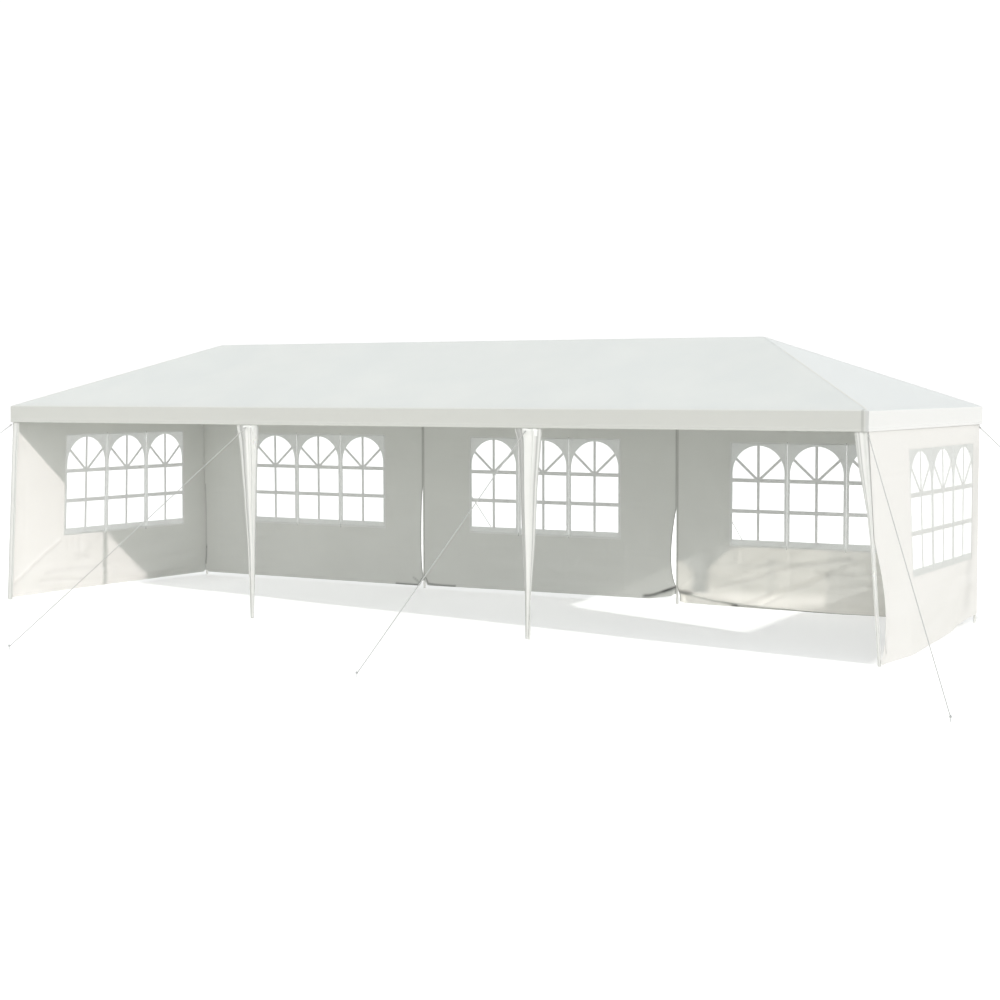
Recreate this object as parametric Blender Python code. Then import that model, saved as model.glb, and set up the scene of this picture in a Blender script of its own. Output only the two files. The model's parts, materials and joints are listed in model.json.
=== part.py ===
# White party tent, three bays long and one bay deep, with a hipped cloth roof on a frame of
# plug-together steel tubes. The back and both ends are closed by cloth walls with arched
# windows, the front is open, and cloth drapes hang on its four legs.
# Metres, +Z up, +X along the ridge, the open front faces -Y, origin on the ground at the centre.

from math import cos, sin, pi, radians, sqrt

import bmesh
import bpy
from mathutils import Vector
from mathutils.geometry import delaunay_2d_cdt

# Frame
BAY = 3.0
HALF_LENGTH = 1.5 * BAY
HALF_DEPTH = 1.5
RAIL_HEIGHT = 1.978
ROOF_RISE = 0.611
RIDGE_HALF = 3.03
TUBE_RADIUS = 0.0125
SOCKET_RADIUS = 0.0155
BRANCH_RADIUS = 0.0145
SOCKET_REACH = 0.08
HUB_REACH = 0.003
HIP_EAVE_CUT = 0.0348
HIP_RIDGE_CUT = 0.0192
CORNER_LEG_SPLAY = 0.13
FIT_GAP = 0.0003

# Cloth
COVER_THICKNESS = 0.003
WALL_THICKNESS = 0.002
COVER_OVERHANG = 0.0347
VALANCE_BOTTOM = 1.819
WALL_TOP = 1.958
WALL_BOTTOM = 0.022
SEAM_GAP = 0.0003

# Windows, three arches in each wall. A wall's own row sits this far along and up from its middle,
# and the end walls' windows are a little larger.
WINDOW_WIDTH = 0.54
WINDOW_SPACING = 0.597
WINDOW_HEIGHT = 0.92
WINDOW_MIDDLE = 1.152
END_WINDOW_SCALE = 1.05
ARCH_STEPS = 12
WINDOW_SHIFT = {"back_left": (0.115, 0.008), "back_mid": (-0.02, 0.0), "back_right": (-0.035, -0.018),
                "left": (0.19, 0.010), "right": (0.385, -0.004)}
FILM_THICKNESS = 0.001
FILM_GAP = 0.0007
FILM_MARGIN = 0.03

# Leg drapes
DRAPE_TOP = 1.8165
DRAPE_BOTTOM = 0.03
DRAPE_TOP_HALF = 0.125
DRAPE_FOOT_HALF = 0.018
DRAPE_CORNER_HALF = 0.098
DRAPE_CORNER_OUTER = 0.011
DRAPE_PLEATS = 4
DRAPE_TIED_PART = 0.1
DRAPE_PLEAT_DEPTH = 0.03
DRAPE_FOOT_DEPTH = 0.003

# Guy ropes and ground stakes
ROPE_RADIUS = 0.003
ROPE_TOP = 1.80
ROPE_END = 0.03
STAKE_RADIUS = 0.004
STAKE_HEIGHT = 0.05
CORNER_STAKE = (5.815, 3.56)
MID_LEFT_STAKE = (-1.934, 4.181)
MID_RIGHT_STAKE = (1.409, 3.952)

FRONT_SLOPE = ROOF_RISE / HALF_DEPTH
END_SLOPE = ROOF_RISE / (HALF_LENGTH - RIDGE_HALF)
TEE_CUT = SOCKET_RADIUS + FIT_GAP
INNER_OFFSET = SOCKET_RADIUS + FIT_GAP
OUTER_OFFSET = INNER_OFFSET + COVER_THICKNESS
COVER_HALF_DEPTH = HALF_DEPTH + COVER_OVERHANG


def clear_scene():
    for item in list(bpy.data.objects):
        bpy.data.objects.remove(item, do_unlink=True)


def material(name, colour, roughness, metallic=0.0, alpha=1.0):
    mat = bpy.data.materials.new(name)
    mat.use_nodes = True
    shader = mat.node_tree.nodes["Principled BSDF"]
    shader.inputs["Base Color"].default_value = (*colour, 1.0)
    shader.inputs["Roughness"].default_value = roughness
    shader.inputs["Metallic"].default_value = metallic
    shader.inputs["Alpha"].default_value = alpha
    return mat


def add_object(name, bm, mat, smooth=False, location=(0, 0, 0)):
    """Makes an object of the mesh, and places it at the location, where the mesh already is."""
    bmesh.ops.recalc_face_normals(bm, faces=bm.faces)
    bmesh.ops.translate(bm, verts=bm.verts, vec=-Vector(location))
    mesh = bpy.data.meshes.new(name)
    bm.to_mesh(mesh)
    bm.free()
    if smooth:
        mesh.shade_smooth()
        mesh.set_sharp_from_angle(angle=radians(40))
    mesh.materials.append(mat)
    item = bpy.data.objects.new(name, mesh)
    item.location = location
    bpy.context.scene.collection.objects.link(item)
    item.parent = tent
    return item


# Round bars: tubes, sockets, ropes and stakes


def cross_axes(direction):
    """Two unit vectors square to the direction and to each other."""
    reference = Vector((0, 0, 1)) if abs(direction.z) < 0.8 else Vector((0, 1, 0))
    side = direction.cross(reference).normalized()
    return side, direction.cross(side).normalized()


def add_rod(bm, start, end, profile, sides=12, flat_start=False):
    """Adds a closed round rod from start to end. The profile gives its radius along it, as pairs of
    distance and radius. A flat start is cut level instead of square to the rod."""
    start, end = Vector(start), Vector(end)
    direction = (end - start).normalized()
    side, up = cross_axes(direction)
    rings = []
    for distance, radius in profile:
        ring = []
        for index in range(sides):
            angle = 2 * pi * (index + 0.5) / sides
            offset = radius * (side * cos(angle) + up * sin(angle))
            if flat_start and not rings:
                offset -= direction * (offset.z / direction.z)
            ring.append(bm.verts.new(start + direction * distance + offset))
        rings.append(ring)
    for near, far in zip(rings, rings[1:]):
        for index in range(sides):
            after = (index + 1) % sides
            bm.faces.new((near[index], near[after], far[after], far[index]))
    bm.faces.new(rings[0][::-1])
    bm.faces.new(rings[-1])


def sleeve_profile(length, sleeves, radius):
    """The profile of a tube with sleeves on it, each given by where it starts and ends."""
    profile = []
    for first, last in sleeves:
        if first > 0:
            profile += [(first, TUBE_RADIUS)]
        profile += [(max(first, 0.0), radius), (min(last, length), radius)]
        if last < length:
            profile += [(last, TUBE_RADIUS)]
    if sleeves[0][0] > 0:
        profile.insert(0, (0.0, TUBE_RADIUS))
    if sleeves[-1][1] < length:
        profile.append((length, TUBE_RADIUS))
    return profile


def rod_object(name, start, end, profile, mat, sides=12, flat_start=False, location=None):
    bm = bmesh.new()
    add_rod(bm, start, end, profile, sides, flat_start)
    return add_object(name, bm, mat, True, location or (start + end) / 2)


def branch_tube(name, hub, far_hub, hub_cut, far_cut):
    """A tube between two connectors, with their branch sleeves at its ends. Each cut is how far from
    the connector's centre it starts."""
    step = (far_hub - hub).normalized()
    start, end = hub + step * hub_cut, far_hub - step * far_cut
    length = (end - start).length
    sleeves = [(0.0, SOCKET_REACH - hub_cut), (length + far_cut - SOCKET_REACH, length)]
    profile = sleeve_profile(length, sleeves, BRANCH_RADIUS)
    return rod_object(name, start, end, profile, steel)


# Frame


def post_foot(x, y):
    """Where a leg meets the ground. The two front corner legs stand splayed outwards."""
    at_corner = abs(x) > HALF_LENGTH - BAY / 2
    splay = CORNER_LEG_SPLAY if at_corner and y < 0 else 0.0
    return Vector((x + (splay if x > 0 else -splay), y, 0.0))


def post_top(x, y):
    return Vector((x, y, RAIL_HEIGHT))


def leg_lean(z):
    """How far outwards a splayed front corner leg stands at this height."""
    return CORNER_LEG_SPLAY * (1 - z / RAIL_HEIGHT)


def make_legs():
    for y, row in ((-HALF_DEPTH, "front"), (HALF_DEPTH, "back")):
        for x, place in zip(POST_X, POST_NAMES):
            foot, top = post_foot(x, y), post_top(x, y)
            length = (top - foot).length - TEE_CUT
            top = foot + (top - foot).normalized() * length
            sleeves = [(length + TEE_CUT - SOCKET_REACH, length)]
            profile = sleeve_profile(length, sleeves, BRANCH_RADIUS)
            rod_object(f"{row}_{place}_leg", foot, top, profile, steel, 16, True, foot)


def ridge_point(x):
    return Vector((x, 0, RAIL_HEIGHT + ROOF_RISE))


def run_tube(name, hubs):
    """A run of tubes plugged through a row of connectors, with the connectors' sleeves along it."""
    reach = Vector((HUB_REACH, 0, 0))
    start, end = hubs[0] - reach, hubs[-1] + reach
    sleeves = [((hub - start).x - SOCKET_REACH, (hub - start).x + SOCKET_REACH) for hub in hubs]
    profile = sleeve_profile((end - start).length, sleeves, SOCKET_RADIUS)
    return rod_object(name, start, end, profile, steel, 16)


def make_rails():
    for y, row in ((-HALF_DEPTH, "front"), (HALF_DEPTH, "back")):
        run_tube(f"{row}_eave_rail", [post_top(x, y) for x in POST_X])
    for x, place in ((-HALF_LENGTH, "left"), (HALF_LENGTH, "right")):
        branch_tube(f"{place}_eave_rail", post_top(x, -HALF_DEPTH), post_top(x, HALF_DEPTH), TEE_CUT,
                    TEE_CUT)
    run_tube("ridge_pole", [ridge_point(x) for x in RIDGE_X])


def make_rafters():
    for y, row in ((-HALF_DEPTH, "front"), (HALF_DEPTH, "back")):
        for x, place in zip(POST_X[1:3], POST_NAMES[1:3]):
            branch_tube(f"{row}_{place}_rafter", post_top(x, y), ridge_point(x), TEE_CUT, TEE_CUT)
        for side, place in ((-1, "left"), (1, "right")):
            branch_tube(f"{row}_{place}_hip_rafter", post_top(side * HALF_LENGTH, y),
                        ridge_point(side * RIDGE_HALF), HIP_EAVE_CUT, HIP_RIDGE_CUT)


# Cloth sheets


def inside(point, loop):
    """Whether a flat point lies within a closed outline."""
    found = False
    for (ax, ay), (bx, by) in zip(loop, loop[1:] + loop[:1]):
        if (ay > point[1]) != (by > point[1]):
            if point[0] < ax + (point[1] - ay) * (bx - ax) / (by - ay):
                found = not found
    return found


def grid_points(outline, holes, step):
    """Evenly spaced points inside the cloth, clear of its edges."""
    us, vs = [u for u, v in outline], [v for u, v in outline]
    columns, rows = round((max(us) - min(us)) / step), round((max(vs) - min(vs)) / step)
    edge_points = [Vector(p) for loop in [outline] + holes for p in loop]
    found = []
    for column in range(1, columns):
        for row in range(1, rows):
            u = min(us) + (max(us) - min(us)) * column / columns
            v = min(vs) + (max(vs) - min(vs)) * row / rows
            clear = all((Vector((u, v)) - p).length > step / 3 for p in edge_points)
            if clear and inside((u, v), outline) and not any(inside((u, v), hole) for hole in holes):
                found.append((u, v))
    return found


def split_sides(loop, step):
    """The outline with points added along it, so that none of its sides is longer than the step."""
    found = []
    for start, end in zip(loop, loop[1:] + loop[:1]):
        start, side = Vector(start), Vector(end) - Vector(start)
        count = max(1, round(side.length / step + 0.5))
        found += [tuple(start + side * i / count) for i in range(count)]
    return found


def sheet(name, mat, outline, place, thickness, holes=(), step=None, location=(0, 0, 0)):
    """A closed sheet of cloth. place(u, v, depth) puts a flat point of it in space."""
    holes = list(holes)
    if step:
        outline = split_sides(outline, step)
        holes = [split_sides(hole, step) for hole in holes]
    points, edges = [], []
    for loop in [outline] + holes:
        first = len(points)
        points += loop
        edges += [(first + i, first + (i + 1) % len(loop)) for i in range(len(loop))]
    if step:
        points += grid_points(outline, holes, step)
    flat, _, triangles, *_ = delaunay_2d_cdt([Vector(p) for p in points], edges, [], 1, 1e-7)
    bm = bmesh.new()
    near = [bm.verts.new(place(p.x, p.y, 0.0)) for p in flat]
    far = [bm.verts.new(place(p.x, p.y, thickness)) for p in flat]
    sides = {}
    for triangle in triangles:
        centre = sum((flat[i] for i in triangle), Vector((0, 0))) / 3
        if not inside(centre, outline) or any(inside(centre, hole) for hole in holes):
            continue
        bm.faces.new([near[i] for i in triangle])
        bm.faces.new([far[i] for i in reversed(triangle)])
        for a, b in zip(triangle, triangle[1:] + triangle[:1]):
            if (b, a) in sides:
                del sides[(b, a)]
            else:
                sides[(a, b)] = True
    for a, b in sides:
        bm.faces.new((near[b], near[a], far[a], far[b]))
    loose = [v for v in bm.verts if not v.link_faces]
    bmesh.ops.delete(bm, geom=loose, context="VERTS")
    return add_object(name, bm, mat, False, location)


# Roof cover: four sewn panels that meet at the hips and the ridge, and a straight valance


def slope_cosine(slope):
    return 1 / sqrt(1 + slope * slope)


def front_height(y, offset):
    """Height of the long roof slopes, measured square above the plane of the tube axes."""
    return RAIL_HEIGHT + (HALF_DEPTH - abs(y)) * FRONT_SLOPE + offset / slope_cosine(FRONT_SLOPE)


def end_height(x, offset):
    return RAIL_HEIGHT + (HALF_LENGTH - abs(x)) * END_SLOPE + offset / slope_cosine(END_SLOPE)


def hip_x(y, offset):
    """Distance from the middle of the tent to the hip, at this depth."""
    rise = front_height(y, offset) - RAIL_HEIGHT - offset / slope_cosine(END_SLOPE)
    return HALF_LENGTH - rise / END_SLOPE


COVER_HALF_LENGTH = hip_x(COVER_HALF_DEPTH, OUTER_OFFSET)


def make_roof_panels():
    def offset(depth):
        return INNER_OFFSET + depth

    for side, row in ((-1, "front"), (1, "back")):
        def place_long(u, v, depth):
            y = SEAM_GAP + v * (COVER_HALF_DEPTH - SEAM_GAP)
            x = u * (hip_x(y, offset(depth)) - SEAM_GAP)
            return x, side * y, front_height(y, offset(depth))
        sheet(f"roof_{row}_panel", cover_cloth, [(-1, 0), (1, 0), (1, 1), (-1, 1)], place_long,
              COVER_THICKNESS)
    for side, row in ((-1, "left"), (1, "right")):
        def place_end(u, v, depth):
            tip = 0.004
            y = tip + v * (COVER_HALF_DEPTH - tip)
            x = hip_x(y, offset(depth)) + SEAM_GAP
            return side * x, u * y, end_height(x, offset(depth))
        sheet(f"roof_{row}_panel", cover_cloth, [(-1, 0), (1, 0), (1, 1), (-1, 1)], place_end,
              COVER_THICKNESS)


def make_valances():
    top = front_height(COVER_HALF_DEPTH, INNER_OFFSET) - SEAM_GAP
    for side, row in ((-1, "front"), (1, "back")):
        def place_long(u, v, depth):
            return u, side * (COVER_HALF_DEPTH - depth), v
        span = COVER_HALF_LENGTH
        outline = [(-span, VALANCE_BOTTOM), (span, VALANCE_BOTTOM), (span, top), (-span, top)]
        sheet(f"{row}_valance", cover_cloth, outline, place_long, COVER_THICKNESS)
    for side, row in ((-1, "left"), (1, "right")):
        def place_end(u, v, depth):
            return side * (COVER_HALF_LENGTH - depth), u, v
        span = COVER_HALF_DEPTH - COVER_THICKNESS - SEAM_GAP
        outline = [(-span, VALANCE_BOTTOM), (span, VALANCE_BOTTOM), (span, top), (-span, top)]
        sheet(f"{row}_valance", cover_cloth, outline, place_end, COVER_THICKNESS)


# Walls


def arch_outline(centre, middle, scale):
    """One arched window opening: straight sides and a half-round head."""
    half, sill = scale * WINDOW_WIDTH / 2, middle - scale * WINDOW_HEIGHT / 2
    spring = middle + scale * WINDOW_HEIGHT / 2 - half
    head = [(centre + half * cos(pi * i / ARCH_STEPS), spring + half * sin(pi * i / ARCH_STEPS))
            for i in range(ARCH_STEPS + 1)]
    return [(centre - half, sill), (centre + half, sill)] + head


def arch_row(centre, rise, scale=1.0):
    return [arch_outline(centre + scale * WINDOW_SPACING * i, WINDOW_MIDDLE + rise, scale) for i in (-1, 0, 1)]


def bow(z, low, high, depth):
    """How far a wall's free side edge pulls away from its leg between its lower ties."""
    if not low < z < high:
        return 0.0
    return depth * sin(pi * (z - low) / (high - low)) ** 1.5


def wall_outline(left_edge, right_edge, bottom=WALL_BOTTOM, steps=14):
    """A wall's outline, with each side edge given as a function of height."""
    heights = [bottom + (WALL_TOP - bottom) * i / steps for i in range(steps + 1)]
    right = [(right_edge(z), z) for z in heights]
    left = [(left_edge(z), z) for z in reversed(heights)]
    return right + left


def film_outline(centre, rise, scale=1.0):
    half = scale * (WINDOW_SPACING + WINDOW_WIDTH / 2) + FILM_MARGIN
    reach = scale * WINDOW_HEIGHT / 2 + FILM_MARGIN
    low, high = WINDOW_MIDDLE + rise - reach, WINDOW_MIDDLE + rise + reach
    return [(centre - half, low), (centre + half, low), (centre + half, high), (centre - half, high)]


BACK_WALL_Y = HALF_DEPTH - BRANCH_RADIUS
END_WALL_X = HALF_LENGTH + BRANCH_RADIUS
WALL_BUTT = 0.004
WALL_END_REACH = 0.012
TWIST_STEP = 0.18


def make_back_walls():
    edges = {
        "back_left": (lambda z: -HALF_LENGTH - WALL_END_REACH,
                      lambda z: POST_X[1] - WALL_BUTT - bow(z, 0.12, 1.12, 0.036)),
        "back_mid": (lambda z: POST_X[1] + WALL_BUTT,
                     lambda z: POST_X[2] - WALL_BUTT - bow(z, 0.10, 1.0, 0.05)),
        "back_right": (lambda z: POST_X[2] + WALL_BUTT,
                       lambda z: HALF_LENGTH + WALL_END_REACH),
    }

    def place_wall(u, v, depth):
        return u, BACK_WALL_Y - depth, v

    def place_film(u, v, depth):
        return u, BACK_WALL_Y - WALL_THICKNESS - FILM_GAP - depth, v

    for index, (name, (left_edge, right_edge)) in enumerate(edges.items()):
        shift, rise = WINDOW_SHIFT[name]
        centre = (index - 1) * BAY + shift
        sheet(f"{name}_wall", wall_cloth, wall_outline(left_edge, right_edge), place_wall,
              WALL_THICKNESS, arch_row(centre, rise))
        sheet(f"{name}_window", film, film_outline(centre, rise), place_film, FILM_THICKNESS)


def end_wall_lean(y, z):
    """The end walls follow a splayed front leg and a plumb back leg, and twist between them."""
    return leg_lean(z) * (0.5 - y / (2 * HALF_DEPTH))


def make_end_walls():
    for side, name, slit in ((-1, "left", 0.0), (1, "right", 0.11)):
        def place_wall(u, v, depth):
            return side * (END_WALL_X + end_wall_lean(u, v) + depth), u, v

        def place_film(u, v, depth):
            return side * (END_WALL_X - FILM_GAP + end_wall_lean(u, v) - depth), u, v

        outline = wall_outline(lambda z: -HALF_DEPTH - WALL_END_REACH + bow(z, 0.06, 0.88, slit),
                               lambda z: HALF_DEPTH + WALL_END_REACH)
        shift, rise = WINDOW_SHIFT[name]
        sheet(f"{name}_end_wall", wall_cloth, outline, place_wall, WALL_THICKNESS,
              arch_row(shift, rise, END_WINDOW_SCALE), step=TWIST_STEP)
        sheet(f"{name}_end_window", film, film_outline(shift, rise, END_WINDOW_SCALE), place_film,
              FILM_THICKNESS, step=TWIST_STEP)


# Leg drapes


def make_drapes():
    seat = TUBE_RADIUS + FIT_GAP
    columns, rows = 8 * DRAPE_PLEATS, 6
    for x, place in zip(POST_X, POST_NAMES):
        at_corner = abs(x) == HALF_LENGTH
        outward = 1 if x > 0 else -1
        top_half = DRAPE_CORNER_HALF if at_corner else DRAPE_TOP_HALF

        def place_drape(u, v, depth):
            z = DRAPE_BOTTOM + v * (DRAPE_TOP - DRAPE_BOTTOM)
            half = DRAPE_FOOT_HALF + v * (top_half - DRAPE_FOOT_HALF)
            pleat = DRAPE_FOOT_DEPTH + v * (DRAPE_PLEAT_DEPTH - DRAPE_FOOT_DEPTH)
            wave = 0.5 - 0.5 * cos(pi * DRAPE_PLEATS * u) if abs(u) > DRAPE_TIED_PART else 0.0
            across = u * half
            if at_corner and u * outward > 0:
                wave = 0.0
                across = u * DRAPE_CORNER_OUTER
            lean = outward * leg_lean(z) if at_corner else 0.0
            return x + lean + across, -HALF_DEPTH - seat - depth - pleat * wave, z

        bm = bmesh.new()
        grid = []
        for depth in (0.0, COVER_THICKNESS):
            grid.append([[bm.verts.new(place_drape(2 * i / columns - 1, j / rows, depth))
                          for i in range(columns + 1)] for j in range(rows + 1)])
        back, front = grid
        for j in range(rows):
            for i in range(columns):
                bm.faces.new((front[j][i], front[j][i + 1], front[j + 1][i + 1], front[j + 1][i]))
                bm.faces.new((back[j][i], back[j + 1][i], back[j + 1][i + 1], back[j][i + 1]))
            for i in (0, columns):
                bm.faces.new((front[j][i], front[j + 1][i], back[j + 1][i], back[j][i]))
        for i in range(columns):
            for j in (0, rows):
                bm.faces.new((front[j][i], front[j][i + 1], back[j][i + 1], back[j][i]))
        add_object(f"front_{place}_drape", bm, cover_cloth, True)


# Guy ropes and stakes


def stake_points():
    """Each leg with the ground point of its stake. The back mirrors the front."""
    found = []
    for y, row in ((-1, "front"), (1, "back")):
        stakes = [(-CORNER_STAKE[0], CORNER_STAKE[1]), MID_LEFT_STAKE, MID_RIGHT_STAKE, CORNER_STAKE]
        for x, place, (stake_x, stake_y) in zip(POST_X, POST_NAMES, stakes):
            leg, stake = Vector((x, y * HALF_DEPTH, 0)), Vector((stake_x, y * stake_y, 0))
            found.append((leg, stake, f"{row}_{place}"))
    return found


def make_guy_ropes():
    """Each rope runs taut from its leg to its stake, and is knotted to it. On the front legs it
    starts at the cloth of the drape. A rope's end is cut square, so its rim leans back a little."""
    for leg, stake, name in stake_points():
        tie = leg.copy()
        if abs(leg.x) == HALF_LENGTH and leg.y < 0:
            tie.x += leg_lean(ROPE_TOP) * (1 if leg.x > 0 else -1)
        outward = (stake - tie).normalized()
        run = (stake - tie + Vector((0, 0, ROPE_END - ROPE_TOP))).normalized()
        seat = TUBE_RADIUS + FIT_GAP + ROPE_RADIUS * abs(run.z)
        if leg.y < 0:
            cloth_front = TUBE_RADIUS + COVER_THICKNESS + 2 * FIT_GAP
            seat = (cloth_front + ROPE_RADIUS * sqrt(1 - run.y ** 2)) / abs(outward.y)
        start = tie + outward * seat + Vector((0, 0, ROPE_TOP))
        end = stake + Vector((0, 0, ROPE_END))
        pin_profile = [(0.0, STAKE_RADIUS), (STAKE_HEIGHT, STAKE_RADIUS)]
        rope_profile = [(0.0, ROPE_RADIUS), ((end - start).length, ROPE_RADIUS)]
        pin_top = stake + Vector((0, 0, STAKE_HEIGHT))
        pin = rod_object(f"{name}_stake", stake, pin_top, pin_profile, rope, 12, False, stake)
        pin.hide_render = True
        pin.display_type = "WIRE"
        line = rod_object(f"{name}_guy_rope", start, end, rope_profile, rope, 12, False, stake)
        union = line.modifiers.new("stake", "BOOLEAN")
        union.operation = "UNION"
        union.solver = "EXACT"
        union.object = pin


POST_X = [-HALF_LENGTH, -BAY / 2, BAY / 2, HALF_LENGTH]
POST_NAMES = ["left", "mid_left", "mid_right", "right"]
RIDGE_X = [-RIDGE_HALF, -BAY / 2, BAY / 2, RIDGE_HALF]

clear_scene()
tent = bpy.data.objects.new("tent", None)
bpy.context.scene.collection.objects.link(tent)

steel = material("white_coated_steel", (0.80, 0.80, 0.78), 0.35, 0.1)
cover_cloth = material("white_cover_cloth", (0.80, 0.82, 0.80), 0.55)
wall_cloth = material("white_wall_cloth", (0.78, 0.79, 0.77), 0.6)
film = material("clear_window_film", (0.9, 0.92, 0.93), 0.1, alpha=0.3)
rope = material("white_rope", (0.8, 0.8, 0.78), 0.8)

make_legs()
make_rails()
make_rafters()
make_roof_panels()
make_valances()
make_back_walls()
make_end_walls()
make_drapes()
make_guy_ropes()
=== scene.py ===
# Looks of a white party tent: cloth, window film, drapes, ropes and coated tubes round the fixed frame.
import json
from math import cos, exp, hypot, pi, radians, sin, sqrt

import bmesh
import bpy
from mathutils import Euler, Matrix, Vector, noise

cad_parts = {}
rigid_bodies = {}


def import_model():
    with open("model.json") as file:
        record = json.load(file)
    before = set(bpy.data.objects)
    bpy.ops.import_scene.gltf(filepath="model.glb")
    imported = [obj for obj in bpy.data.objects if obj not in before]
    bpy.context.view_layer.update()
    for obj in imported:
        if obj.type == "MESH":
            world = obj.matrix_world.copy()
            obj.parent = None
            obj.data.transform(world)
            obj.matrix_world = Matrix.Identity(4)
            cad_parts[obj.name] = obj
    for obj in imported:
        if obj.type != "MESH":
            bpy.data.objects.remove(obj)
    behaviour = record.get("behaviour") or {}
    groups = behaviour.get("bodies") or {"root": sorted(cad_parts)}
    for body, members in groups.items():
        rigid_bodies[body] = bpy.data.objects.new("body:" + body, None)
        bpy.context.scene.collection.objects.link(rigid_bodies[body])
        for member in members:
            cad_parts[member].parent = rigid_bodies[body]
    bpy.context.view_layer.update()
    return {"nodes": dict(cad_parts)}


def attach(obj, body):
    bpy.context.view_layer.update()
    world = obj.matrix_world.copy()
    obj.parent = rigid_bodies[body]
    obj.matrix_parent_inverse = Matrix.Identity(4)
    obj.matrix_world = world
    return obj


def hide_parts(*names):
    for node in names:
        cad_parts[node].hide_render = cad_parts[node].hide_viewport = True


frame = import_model()
print("frame loaded:", len(frame["nodes"]), "nodes")

# Where the frame stands, in metres
tent = {"bay": 3.0, "halfLength": 4.5, "halfDepth": 1.5, "railHeight": 1.978, "roofRise": 0.611,
        "ridgeHalf": 3.03, "tube": 0.0125, "sleeve": 0.0155, "branch": 0.0145, "splay": 0.13}
postX = [-4.5, -1.5, 1.5, 4.5]
postNames = ["left", "mid_left", "mid_right", "right"]
frontSlope = tent["roofRise"] / tent["halfDepth"]
endSlope = tent["roofRise"] / (tent["halfLength"] - tent["ridgeHalf"])


# Small helpers

def deselectAll():
    bpy.ops.object.select_all(action="DESELECT")


def pick(item):
    deselectAll()
    item.select_set(True)
    bpy.context.view_layer.objects.active = item


def smooth(t):
    t = min(max(t, 0.0), 1.0)
    return t * t * (3 - 2 * t)


def between(table, x):
    """Reads a value between the rows of a short table of (place, value)."""
    if x <= table[0][0]:
        return table[0][1]
    for (x0, y0), (x1, y1) in zip(table, table[1:]):
        if x <= x1:
            return y0 + (y1 - y0) * (x - x0) / (x1 - x0)
    return table[-1][1]


def rippleAt(a, b, seed):
    return noise.noise(Vector((a, b, seed)))


def applyModifiers(item):
    pick(item)
    for modifier in list(item.modifiers):
        bpy.ops.object.modifier_apply(modifier=modifier.name)


def movePoints(item, place):
    for point in item.data.vertices:
        point.co = place(point.co)
    item.data.update()


def copyOf(item, name):
    made = item.copy()
    made.data = item.data.copy()
    made.name = name
    bpy.context.scene.collection.objects.link(made)
    return made


def joinAll(items, name):
    deselectAll()
    for item in items:
        item.select_set(True)
    bpy.context.view_layer.objects.active = items[0]
    if len(items) > 1:
        bpy.ops.object.join()
    made = bpy.context.view_layer.objects.active
    made.name = name
    return made


def settle(item):
    """Puts an object's place and turn into its mesh."""
    pick(item)
    bpy.ops.object.transform_apply(location=True, rotation=True, scale=True)


def finishPiece(item, material, slot, nodes=(), angle=40):
    item.data.materials.clear()
    item.data.materials.append(material)
    pick(item)
    bpy.ops.object.shade_smooth_by_angle(angle=radians(angle))
    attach(item, "root")
    if nodes:
        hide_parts(*nodes)


def thicken(item, thickness):
    pick(item)
    shell = item.modifiers.new("shell", "SOLIDIFY")
    shell.thickness = thickness
    shell.offset = 0
    bpy.ops.object.modifier_apply(modifier=shell.name)


def paintFlat(item, read):
    """Writes the cloth's own flat coordinates, in metres, to its UV map."""
    layer = item.data.uv_layers.get("flat") or item.data.uv_layers.new(name="flat")
    points = item.data.vertices
    for loop in item.data.loops:
        layer.data[loop.index].uv = read(points[loop.vertex_index].co)


def paintShade(item, read):
    """Writes the painted shade (up to 1) or painted light (down to -1) of the cloth's folds to its points."""
    layer = item.data.attributes.new("shade", "FLOAT", "POINT")
    for point in item.data.vertices:
        layer.data[point.index].value = read(point.co)


# Materials

def startMaterial(name):
    made = bpy.data.materials.new(name)
    made.use_nodes = True
    tree = made.node_tree
    tree.nodes.clear()
    return made, tree


def addNode(tree, kind, inputs=None, **settings):
    node = tree.nodes.new(kind)
    for key, value in settings.items():
        setattr(node, key, value)
    for key, value in (inputs or {}).items():
        if isinstance(value, bpy.types.NodeSocket):
            tree.links.new(value, node.inputs[key])
        else:
            node.inputs[key].default_value = value
    return node


def sumOf(tree, operation, first, second):
    return addNode(tree, "ShaderNodeMath", {0: first, 1: second}, operation=operation).outputs[0]


def mixColour(tree, amount, first, second):
    mixed = addNode(tree, "ShaderNodeMix", data_type="RGBA")
    for socket, value in ((mixed.inputs[0], amount), (mixed.inputs[6], first), (mixed.inputs[7], second)):
        if isinstance(value, bpy.types.NodeSocket):
            tree.links.new(value, socket)
        else:
            socket.default_value = value
    return mixed.outputs[2]


def ranged(tree, value, low, high, outLow, outHigh):
    return addNode(tree, "ShaderNodeMapRange", {0: value, 1: low, 2: high, 3: outLow, 4: outHigh}).outputs[0]


def stitchMask(tree, across, along, place, pitch):
    """A dashed line of thread where the across coordinate is at the place."""
    away = addNode(tree, "ShaderNodeMath", {0: sumOf(tree, "SUBTRACT", across, place)},
                   operation="ABSOLUTE").outputs[0]
    line = sumOf(tree, "LESS_THAN", away, 0.0009)
    beat = addNode(tree, "ShaderNodeMath", {0: sumOf(tree, "MULTIPLY", along, 2 * pi / pitch)},
                   operation="SINE").outputs[0]
    return sumOf(tree, "MULTIPLY", line, sumOf(tree, "GREATER_THAN", beat, -0.4))


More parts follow.
